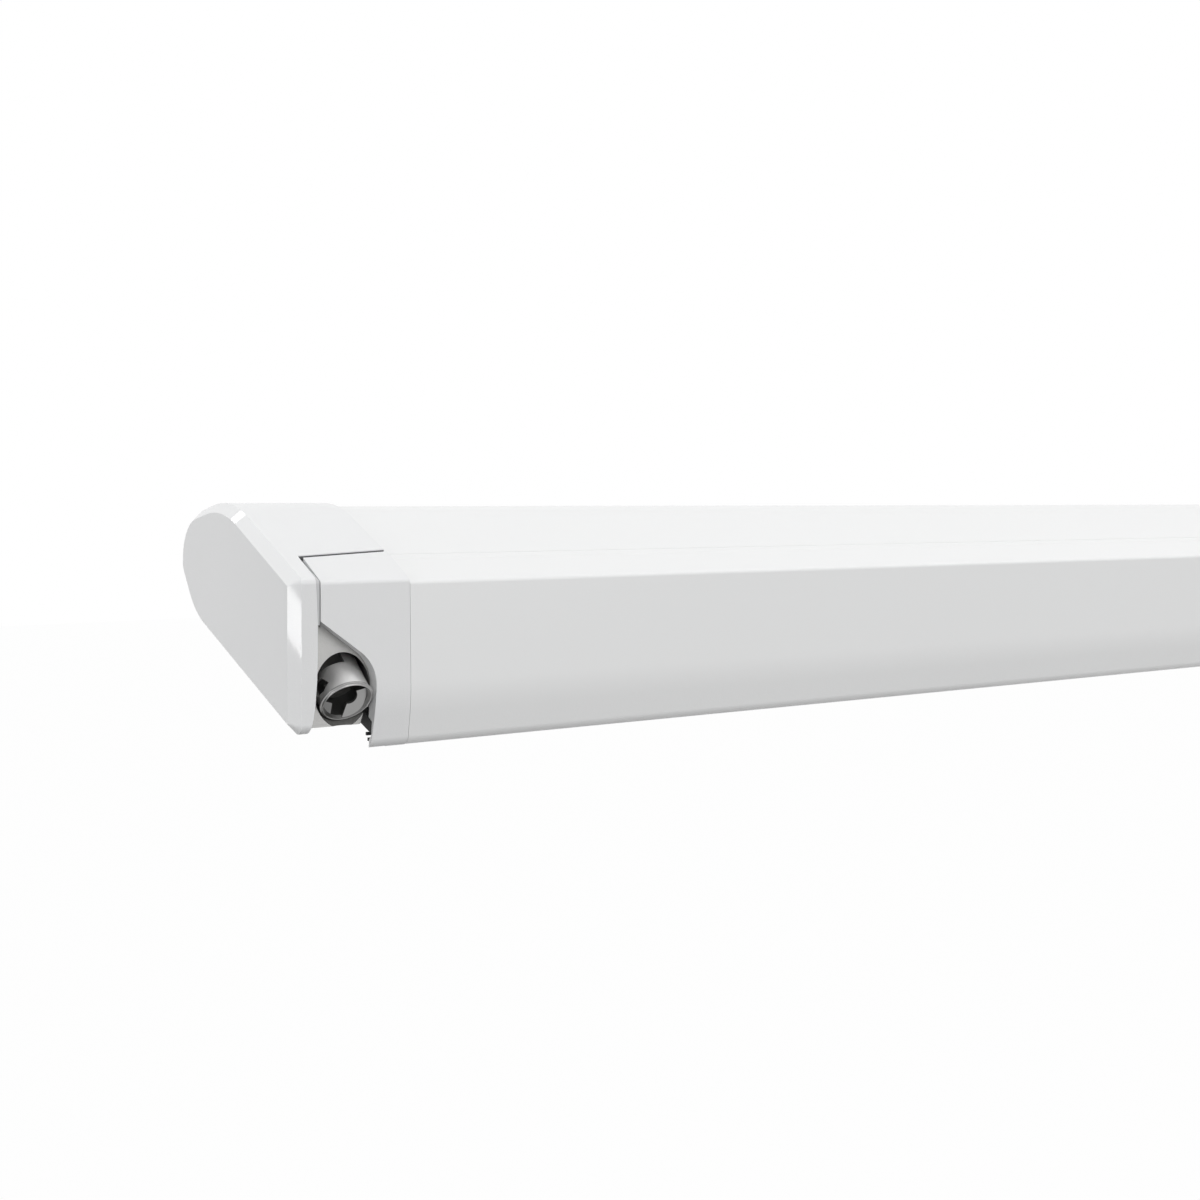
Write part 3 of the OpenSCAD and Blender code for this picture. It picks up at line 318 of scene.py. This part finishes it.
# %% [markdown]
# ## Soft edges on moulded and cast pieces
#
# Nothing that comes out of a mould or a die has a knife edge. Each of these solids is copied, its
# loose triangles are joined, flat faces are cleared of their inner edges, and every sharp edge is
# rounded by a fraction of a millimetre. The copy then stands for the solid. A bevel shader would
# be quicker, but it would leave the outline sharp. Weighted normals keep the flat faces flat, so
# that a chamfer ends in a crisp line.

# %% Rounding helpers
join_dist = 2e-6
flat_limit = math.radians(0.4)
sharp_from, corner_from = 30, 60


def new_piece(name, b, finish, body):
    mesh = bpy.data.meshes.new(name)
    b.to_mesh(mesh)
    b.free()
    piece = bpy.data.objects.new(name, mesh)
    scene.collection.objects.link(piece)
    wear(piece, finish)
    if body:
        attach(piece, body)
    return piece


def smooth_by_angle(b, degrees=40):
    limit = math.radians(degrees)
    for face in b.faces:
        face.smooth = True
    for edge in b.edges:
        edge.smooth = len(edge.link_faces) == 2 and edge.calc_face_angle() < limit


def sharp_edges(b, degrees):
    limit = math.radians(degrees)
    return [e for e in b.edges if len(e.link_faces) == 2 and e.calc_face_angle() > limit]


def round_off(b, edges, radius, steps):
    bmesh.ops.bevel(
        b, geom=edges, offset=radius, offset_type="OFFSET", affect="EDGES",
        segments=steps, profile=0.5, clamp_overlap=True, material=-1,
    )


def soft_edged(node, radius, wide=None, wide_radius=0):
    """A copy of a solid with its sharp edges rounded. It stands for the solid."""
    b = bmesh.new()
    b.from_mesh(frame["nodes"][node].data)
    bmesh.ops.remove_doubles(b, verts=b.verts, dist=join_dist)
    bmesh.ops.dissolve_limit(b, angle_limit=flat_limit, verts=b.verts, edges=b.edges)
    if wide:
        rolled = [e for e in sharp_edges(b, corner_from) if all(wide(v.co) for v in e.verts)]
        round_off(b, rolled, wide_radius, steps=4)
    round_off(b, sharp_edges(b, sharp_from), radius, steps=2)
    smooth_by_angle(b)
    count = len(b.faces)
    slot = slots[node]
    piece = new_piece(node + "_finished", b, finishes[slot], node_body[node])
    flat_faces = piece.modifiers.new("flat_faces", "WEIGHTED_NORMAL")
    flat_faces.keep_sharp = True
    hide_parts(node)
    return count


print("edges past", sharp_from, "degrees will be rounded")

# %% Caps and castings
soft_radius = {
    "end_cap": 0.25, "shoulder_bracket": 0.6, "wrist_bracket": 0.6,
    "elbow_fork": 0.7, "elbow_knuckle": 0.7, "shoulder_knuckle": 0.6, "wrist_knuckle": 0.6,
    "inner_arm": 0.2, "forearm": 0.2, "leg_tube": 0.2, "leg_inner": 0.2,
    "leg_knuckle": 0.5, "leg_collar": 0.4, "leg_foot": 0.8,
}
for side in ("left", "right"):
    for name, radius in soft_radius.items():
        print(side, name, soft_edged(side + "_" + name, radius * mm), "faces")

# %% Rail caps, with wider rounds along the groove to the end cap
end_x = 1300 * mm
front_y = -164.5 * mm
cap_edge_x = end_x - 16 * mm
strip_back_y = front_y + 22 * mm
flange_x, flange_y = end_x - 13.9 * mm, front_y + 25.4 * mm
flange_slant = math.tan(math.radians(6))
groove_w = 2.4 * mm
on_line = 0.05 * mm


def groove_y(x):
    """Front edge of the end cap's flange, behind the groove, at a place along the awning."""
    return flange_y + (flange_x - abs(x)) * flange_slant


def along_groove(place):
    beside_strip = abs(abs(place.x) - cap_edge_x) < on_line and place.y < strip_back_y
    return beside_strip or abs(place.y - groove_y(place.x) + groove_w) < on_line


for node in ("left_rail_cap", "right_rail_cap"):
    print(node, soft_edged(node, 0.06 * mm, along_groove, 0.7 * mm), "faces")

# %% Extrusions, the winch and the small metal pieces
small_radius = {
    "lead_rail": 0.06, "cassette_housing": 0.15, "gearbox_housing": 0.45,
    "leg_hinges": 0.4, "shoulder_pins": 0.3, "wrist_pins": 0.3, "leg_pins": 0.3,
    "end_cap_screws": 0.25, "bracket_screws": 0.25, "wrist_screws": 0.25,
}
for node, radius in small_radius.items():
    print(node, soft_edged(node, radius * mm), "faces")

# %% [markdown]
# ## The crank socket
#
# The socket is a steel tube that turns with the worm. Its rim is rolled, a plate with a keyhole
# leans back from the foot of the mouth, and windows are punched through its wall. Boolean
# modifiers could cut the windows, but they leave ragged edges behind. Here the wall starts as a
# thin sheet: planes slice it along the sides of each window, the faces in between are taken out,
# and only then does the sheet get its thickness. The socket is modelled standing up, with its
# mouth at the origin, and is tilted into its place at the end.

# %% Wall of the socket
socket_mouth = Vector((-1269 * mm, -161.1 * mm, -66.4 * mm))
crank_tilt = 37
tilted = Matrix.Rotation(math.radians(90 + crank_tilt), 4, "X")
socket_place = Matrix.Translation(socket_mouth) @ tilted
tube_r, bore_r = 13.25 * mm, 11.65 * mm
socket_len, base_t = 33 * mm, 3 * mm
rim_foot = 2.4 * mm
round_steps = 72
along = Vector((0, 0, 1))


def points_of(geom):
    return [v for v in geom if isinstance(v, bmesh.types.BMVert)]


b = bmesh.new()
foot_at = Matrix.Translation(-along * socket_len)
bmesh.ops.create_circle(b, segments=round_steps, radius=tube_r, matrix=foot_at)
drawn = points_of(bmesh.ops.extrude_edge_only(b, edges=b.edges[:])["geom"])
bmesh.ops.translate(b, verts=drawn, vec=along * (socket_len - rim_foot))
print("wall of", len(b.faces), "strips")

# %% Windows in the wall: millimetres across the tube, and along it from the mouth
side_window = [(-8.6, -6.6), (-6.5, -11.2), (2, -14), (2, -6.5), (-4.5, -4.7)]
deep_window = [(-6.5, -25), (6.5, -25), (6.5, -14.7), (-6.5, -14.7)]
windows = [(-90, side_window), (27, deep_window), (207, deep_window)]


def punch(b, degrees, outline):
    """Takes a window out of the wall, at a turn from the tube's lowest line."""
    toward = Matrix.Rotation(math.radians(degrees), 3, "Z") @ Vector((0, -1, 0))
    across = along.cross(toward)
    corners = [(u * mm, w * mm) for u, w in outline]
    sides = []
    for (u0, w0), (u1, w1) in zip(corners, corners[1:] + corners[:1]):
        out = across * (w1 - w0) - along * (u1 - u0)
        sides.append((across * u0 + along * w0, out.normalized()))
    for point, out in sides:
        half = [f for f in b.faces if f.calc_center_median().dot(toward) > 0]
        geom = half + list(dict.fromkeys(e for f in half for e in f.edges))
        geom += list(dict.fromkeys(v for f in half for v in f.verts))
        bmesh.ops.bisect_plane(b, geom=geom, plane_co=point, plane_no=out, dist=1e-7)
    hole = []
    for face in b.faces:
        centre = face.calc_center_median()
        within = all((centre - point).dot(out) < 0 for point, out in sides)
        if within and centre.dot(toward) > 0:
            hole.append(face)
    bmesh.ops.delete(b, geom=hole, context="FACES")
    return len(hole)


taken = sum(punch(b, degrees, outline) for degrees, outline in windows)
bmesh.ops.recalc_face_normals(b, faces=b.faces)
bmesh.ops.solidify(b, geom=b.faces[:], thickness=tube_r - bore_r)
wall_faces = set(b.faces)
reach = [math.hypot(v.co.x, v.co.y) / mm for v in b.verts]
print(taken, "faces punched out, wall", round(min(reach), 2), "to", round(max(reach), 2), "mm")

# %% Rolled rim and base: radius and depth of each point of the rim, in millimetres
rim_line = [
    (11.65, 2.4), (13.25, 2.4), (13.7, 2.1), (13.95, 1.65), (13.85, 1.2), (13.5, 0.95),
    (13.2, 0.85), (13.15, 0.5), (13.0, 0.15), (12.75, 0), (12.5, 0.15), (12.3, 0.7), (12.0, 1.5),
]
bead = [b.verts.new((r * mm, 0, -inside * mm)) for r, inside in rim_line]
bead_edges = [b.edges.new(pair) for pair in zip(bead, bead[1:] + bead[:1])]
bmesh.ops.spin(
    b, geom=bead + bead_edges, cent=(0, 0, 0), axis=along, dvec=(0, 0, 0),
    angle=math.tau, steps=round_steps, use_merge=True,
)
lean_foot, lean_run = -12 * mm, 10 * mm
mouth_out, mouth_lean = 1.2 * mm, 0.089
for v in b.verts:
    share = min(max((v.co.z - lean_foot) / lean_run, 0), 1)
    v.co.z += share * (mouth_out + mouth_lean * v.co.y)
base_at = Matrix.Translation(-along * (socket_len - base_t / 2))
bmesh.ops.create_cone(
    b, cap_ends=True, segments=round_steps, radius1=bore_r, radius2=bore_r, depth=base_t,
    matrix=base_at,
)
print("with its rim and base the socket has", len(b.faces), "faces")

# %% Keyhole plate, in two lobes beside the slot
plate_r, plate_t = 12 * mm, 1.4 * mm
plate_in, lean_up, lean_left = 4.5 * mm, 0.30, 0.17
mouth_middle = Vector((0, 0))
keyhole, keyhole_r = Vector((2.65 * mm, -0.2 * mm)), 4.4 * mm
slot_left, slot_right, slot_top = -5.2 * mm, 1.0 * mm, -4.7 * mm


def arc(centre, radius, start, end, steps):
    """Points on a circle, from one angle to another, in degrees."""
    angles = [math.radians(start + (end - start) * k / steps) for k in range(steps + 1)]
    return [(centre.x + radius * math.cos(a), centre.y + radius * math.sin(a)) for a in angles]


def slot_foot(x):
    """The angle at which a side of the slot meets the plate's round edge."""
    return -math.degrees(math.acos(x / plate_r))


def press_lobe(b, outline):
    """One lobe of the plate. It leans, and is deepest at the top and at the left."""
    rim = [b.verts.new((x, y, lean_left * x - lean_up * y - plate_in)) for x, y in outline]
    behind = points_of(bmesh.ops.extrude_face_region(b, geom=[b.faces.new(rim)])["geom"])
    bmesh.ops.translate(b, verts=behind, vec=-along * plate_t)


right_lobe = arc(mouth_middle, plate_r, slot_foot(slot_right), 21.6, 24)
right_lobe += arc(keyhole, keyhole_r, 37.5, -93.3, 20)
left_lobe = arc(mouth_middle, plate_r, -164, slot_foot(slot_left), 12) + [(slot_left, slot_top)]
press_lobe(b, right_lobe)
lit_faces = set(b.faces)
press_lobe(b, left_lobe)
bmesh.ops.recalc_face_normals(b, faces=b.faces)
print("lobes of", len(right_lobe), "and", len(left_lobe), "points")

# %% Steels of the socket: bright outside, duller rim and plate partly as painted shade, painted shade inside
bright, dull, dark = range(3)
# deeper in the tube than this, the socket gets the painted-shade steel
deep_z = -20 * mm
steel_of = {}
b.faces.index_update()
for face in b.faces:
    centre = face.calc_center_median()
    facing = face.normal.dot(Vector((*centre.xy, 0)).normalized())
    if face in wall_faces:
        # wall: outer faces bright, faces into the bore painted shade, window cut edges the duller
        # steel, which paints their shade
        steel_of[face.index] = bright if facing > 0.6 else dark if facing < -0.6 else dull
    else:
        # rim and right lobe get the duller steel; the deep base and the left lobe, in the rim's
        # shadow, get painted shade
        steel_of[face.index] = dull if face in lit_faces and centre.z > deep_z else dark
bmesh.ops.transform(b, matrix=socket_place, verts=b.verts)
smooth_by_angle(b)
socket_body, socket_slot = node_body["crank_socket"], slots["crank_socket"]
winch_socket = new_piece("winch_socket", b, finishes["turned_steel"], socket_body)
for steel in ("pressed_steel", "dark_steel"):
    winch_socket.data.materials.append(finishes[steel])
for index, steel in steel_of.items():
    winch_socket.data.polygons[index].material_index = steel
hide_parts("crank_socket")
print("winch socket", len(winch_socket.data.polygons), "faces")

# %% [markdown]
# ## Dark trim that paints the shade in the groove
#
# A groove runs round each rail cap, so that the rail can close without rubbing on the end cap. A
# dark grey lip on the edge of the flange behind it paints the shade along the top of the groove,
# and a grey wall behind the front strip paints the mid-grey shade down its front. Each could be a
# bent sheet with a Solidify modifier, but its thickness might grow to the wrong side. Here the
# outline is one face with the true thickness, and that face is drawn out along the piece.

# %% Helpers for the trim
top_slope = math.atan2(40.7, 96)
top_front_z = -4.2 * mm


def top_z(y, inside):
    """Height of the end cap's straight top, or of a line a distance inside it."""
    return top_front_z + (y - front_y) * math.tan(top_slope) - inside / math.cos(top_slope)


def drawn_bar(name, outline, move, finish):
    """A bar: an outline in one plane, drawn out by a move."""
    b = bmesh.new()
    end = b.faces.new([b.verts.new(p) for p in outline])
    drawn = points_of(bmesh.ops.extrude_face_region(b, geom=[end])["geom"])
    bmesh.ops.translate(b, verts=drawn, vec=move)
    bmesh.ops.recalc_face_normals(b, faces=b.faces)
    smooth_by_angle(b)
    return new_piece(name, b, finish, "cassette")


print("the end cap's top slopes", round(math.degrees(top_slope), 1), "degrees")

# %% Dark lip and grey wall, which paint the groove's shade
# painted shade: the dark lip stands for the shade along the top of the groove, the grey wall for
# the mid-grey shade down its front
groove_shade_finish = moulded("groove_shade_moulding", (0.085, 0.087, 0.09))
groove_wall_shade_finish = moulded("groove_wall_shade_moulding", (0.58, 0.583, 0.59))
lip_h, lip_t, lip_drop = 1.6 * mm, 1.1 * mm, 0.5 * mm
lip_from, lip_to = end_x - 14.4 * mm, end_x - 64.5 * mm
wall_in, wall_t = 1.9 * mm, 0.8 * mm
wall_foot, wall_back = -27.5 * mm, front_y + 24 * mm
wall_from, wall_to = end_x - 9 * mm, end_x - 15.7 * mm
bend_r, bend_steps = 2.2 * mm, 5


def wall_line(inside):
    """The bent line of the strip wall, a distance inside its outer face."""
    y = front_y + wall_in + inside
    r = bend_r - inside
    bend = Vector((y + r, top_z(y + r, wall_in + inside + r)))
    line = [(y, wall_foot)]
    for k in range(bend_steps + 1):
        turn = (math.pi / 2 - top_slope) * k / bend_steps
        line.append((bend.x - r * math.cos(turn), bend.y + r * math.sin(turn)))
    return line + [(wall_back, top_z(wall_back, wall_in + inside))]


for side, sign in (("left", -1), ("right", 1)):
    x0, x1 = sign * lip_from, sign * lip_to
    y0, y1 = groove_y(x0), groove_y(x1)
    z0 = top_z(y0, 0) - lip_drop
    lip_line = [(y0, z0), (y0 - lip_t, z0), (y0 - lip_t, z0 - lip_h), (y0, z0 - lip_h)]
    lip_run = (x1 - x0, y1 - y0, top_z(y1, 0) - top_z(y0, 0))
    drawn_bar(side + "_groove_shade_lip", [(x0, y, z) for y, z in lip_line], lip_run, groove_shade_finish)
    outline = [(sign * wall_from, y, z) for y, z in wall_line(0) + wall_line(wall_t)[::-1]]
    wall_run = (sign * (wall_to - wall_from), 0, 0)
    drawn_bar(side + "_strip_shade_wall", outline, wall_run, groove_wall_shade_finish)
print("lips and walls at both ends")

# %% [markdown]
# ## The cloth
#
# The awning's cloth is wound on the roller. From the roll it runs down to the mouth of the
# cassette, and from there to a keder, a cord sewn into its edge that slides into the lead rail's
# groove. The stretch inside the cassette never changes. The stretch in front of it is a short
# strip while the awning is closed, and it is drawn out with the rail as the roller turns. A cloth
# simulation could hang it, but both stretches are pulled tight, so flat grids with a thickness
# give them exactly.

# %% The wound roll
roller_axis = Vector((0, -40 * mm, -2 * mm))
cloth_half = 1150 * mm
core_r = 21.5 * mm
roll_r = 26.8 * mm
turns = 7
edge_step = 0.4 * mm
b = bmesh.new()
outline = []
for k in range(turns * 2 + 1):
    r = core_r + (roll_r - core_r) * k / (turns * 2)
    outline.append((-cloth_half + (edge_step if k % 2 else 0), r))
outline += [(-x, r) for x, r in reversed(outline)]
ring = [b.verts.new(roller_axis + Vector((x, 0, r))) for x, r in outline]
edges = [b.edges.new(pair) for pair in zip(ring, ring[1:] + ring[:1])]
bmesh.ops.spin(
    b, geom=ring + edges, cent=roller_axis, axis=(1, 0, 0), dvec=(0, 0, 0),
    angle=math.tau, steps=72, use_merge=True,
)
bmesh.ops.remove_doubles(b, verts=b.verts, dist=1e-6)
bmesh.ops.recalc_face_normals(b, faces=b.faces)
smooth_by_angle(b, 35)
cloth_wound = new_piece("cloth_wound", b, finishes["cloth"], "roller")
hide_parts("cloth_roll")
print("roll of", turns, "turns,", len(cloth_wound.data.polygons), "faces")

# %% The stretch inside the cassette, and the strip in front of it
cloth_t = 0.8 * mm
mouth = Vector((0, -127.5 * mm, -2.5 * mm))
roll_touch = Vector((0, -48.54 * mm, 23.72 * mm))
hem_end = Vector((0, -139.75 * mm, -2.5 * mm))
web_tilt = math.radians(18.37)
cloth_columns = 46


def cloth_strip(name, start, end, body, rows):
    """A flat strip of cloth, as wide as the awning's, between two lines."""
    run = end - start
    b = bmesh.new()
    bmesh.ops.create_grid(b, x_segments=cloth_columns, y_segments=rows, size=0.5)
    bmesh.ops.scale(b, verts=b.verts, vec=(2 * cloth_half, run.length, 1))
    tilt = math.atan2(run.z, run.y)
    bmesh.ops.rotate(b, verts=b.verts, cent=(0, 0, 0), matrix=Matrix.Rotation(tilt, 3, "X"))
    bmesh.ops.translate(b, verts=b.verts, vec=(start + end) / 2)
    for face in b.faces:
        face.smooth = True
    strip = new_piece(name, b, finishes["cloth"], body)
    body_of_cloth = strip.modifiers.new("cloth_thickness", "SOLIDIFY")
    body_of_cloth.thickness = cloth_t
    body_of_cloth.offset = 0
    return strip


lift = Vector((0, -math.sin(web_tilt), math.cos(web_tilt))) * cloth_t / 2
cloth_inner = cloth_strip("cloth_inner", mouth + lift, roll_touch + lift, "cassette", 8)
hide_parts("cloth_web")
cloth_outer = cloth_strip("cloth_outer", hem_end, mouth, None, 48)
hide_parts("cloth_hem")
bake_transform(cloth_outer)
print("cloth strips", round((roll_touch - mouth).length, 4), round((mouth - hem_end).length, 4))

# %% The keder
keder_axis = Vector((0, -144.9 * mm, -2.5 * mm))
keder_r, keder_round = 2.75 * mm, 0.25 * mm
tongue_len = 4.6 * mm
end_edge_len, end_edge_angle = 0.1, 1.2
b = bmesh.new()
turn_to_x = Matrix.Rotation(math.radians(90), 4, "Y")
bmesh.ops.create_cone(
    b, cap_ends=True, segments=20, radius1=keder_r, radius2=keder_r, depth=2 * cloth_half,
    matrix=Matrix.Translation(keder_axis) @ turn_to_x,
)
tongue = bmesh.ops.create_cube(b, size=1)["verts"]
bmesh.ops.scale(b, verts=tongue, vec=(2 * cloth_half, tongue_len, cloth_t))
bmesh.ops.translate(b, verts=tongue, vec=keder_axis + Vector((0, tongue_len / 2, 0)))
short = [e for e in b.edges if e.calc_length() < end_edge_len]
ends = [e for e in short if e.calc_face_angle() > end_edge_angle]
bmesh.ops.bevel(
    b, geom=ends, offset=keder_round, affect="EDGES", segments=2, profile=0.5, material=-1,
)
smooth_by_angle(b)
keder = new_piece("keder_cord", b, finishes["cloth"], "front_rail")
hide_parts("cloth_keder")
print("keder", len(keder.data.polygons), "faces")

# %% [markdown]
# ## Stage and light
#
# The awning hangs on a wall two metres up, so the floor is far below. A white studio surrounds
# it: a long soft lamp overhead, broad ones in front and at the left, and an even white surround.
# Three small lamps are there for what they leave on the left end: a strip at the left and a box
# behind for the chamfers of the end cap, and one above for the rim of the crank socket. Stronger
# lamps could make the background white too, but the white pieces would lose their shading. So rays
# from the camera, and those off metal, see the floor and the surround as white, and the light that
# they give stays lower.

# %% Stage
floor_z, floor_half = -2.35, 30
floor_dim, floor_pale = (0.24, 0.24, 0.24), (0.95, 0.95, 0.95)
white_share = 0.97
white_rays = ("Is Camera Ray", "Is Glossy Ray", "Is Transmission Ray")
b = bmesh.new()
bmesh.ops.create_grid(b, x_segments=1, y_segments=1, size=floor_half)
bmesh.ops.translate(b, verts=b.verts, vec=(0, 0, floor_z))
floor_mesh = bpy.data.meshes.new("studio_floor")
b.to_mesh(floor_mesh)
b.free()
floor = bpy.data.objects.new("studio_floor", floor_mesh)
scene.collection.objects.link(floor)
f = Finish("floor_paint")
rays = [f.add("ShaderNodeLightPath", {}, {}, kind) for kind in white_rays]
seen = rays[0]
for ray in rays[1:]:
    seen = seen.calc("MAXIMUM", seen, ray)
glow = f.add("ShaderNodeEmission", {}, {"Color": (1, 1, 1, 1), "Strength": 1.0})
f.surface(Base_Color=f.tone(seen, floor_dim, floor_pale), Roughness=0.9)
matte = Field(f, f.shader.outputs[0])
mixed = f.add("ShaderNodeMixShader", {}, {0: white_share * seen, 1: matte, 2: glow})
f.feed(f.tree.nodes["Material Output"].inputs["Surface"], mixed)
wear(floor, f.material)
print("floor at", floor_z)

# %% Even surround
surround_light, surround_seen = 0.62, 1.0
world = bpy.data.worlds.new("studio")
scene.world = world
world.use_nodes = True
sky = world.node_tree
path = sky.nodes.new("ShaderNodeLightPath")
shown = path.outputs[white_rays[0]]
for kind in white_rays[1:]:
    either = sky.nodes.new("ShaderNodeMath")
    either.operation = "MAXIMUM"
    sky.links.new(shown, either.inputs[0])
    sky.links.new(path.outputs[kind], either.inputs[1])
    shown = either.outputs[0]
level = sky.nodes.new("ShaderNodeMapRange")
level.inputs["To Min"].default_value = surround_light
level.inputs["To Max"].default_value = surround_seen
sky.links.new(shown, level.inputs["Value"])
surround = sky.nodes["Background"]
surround.inputs["Color"].default_value = (1, 1, 1, 1)
sky.links.new(level.outputs[0], surround.inputs["Strength"])
print("surround gives", surround_light, "and shows", surround_seen)

# %% Lamps
end_cap_middle = (-1.3, -0.15, -0.03)


def soft_lamp(name, place, aim, size, power, roll=0):
    lamp = bpy.data.lights.new(name, "AREA")
    lamp.shape = "RECTANGLE"
    lamp.size, lamp.size_y = size
    lamp.energy = power
    held = bpy.data.objects.new(name, lamp)
    held.location = place
    held.rotation_euler = (Vector(aim) - Vector(place)).to_track_quat("-Z", "Y").to_euler()
    held.rotation_euler.rotate_axis("Z", math.radians(roll))
    scene.collection.objects.link(held)
    print(name, power, "W")


soft_lamp("overhead", (0.2, -0.6, 2.6), (0, -0.1, 0), (5, 0.7), 18)
soft_lamp("front", (-0.6, -3.6, 0.9), (-0.3, 0, 0), (4, 1.6), 42)
soft_lamp("left", (-4.2, 0.6, 0.9), (-1.3, -0.1, 0), (2, 1.6), 26)
soft_lamp("left_strip", (-3.1, -0.95, -0.205), end_cap_middle, (0.5, 0.055), 1.2, roll=-55)
soft_lamp("rim_glint", (-1.16, -0.88, 1.25), socket_mouth, (0.5, 0.12), 1.2)
soft_lamp("back_box", (-1.92, 1.34, 1.27), end_cap_middle, (0.2, 0.2), 0.9)

# %% Finish
scene.view_settings.view_transform = "Standard"
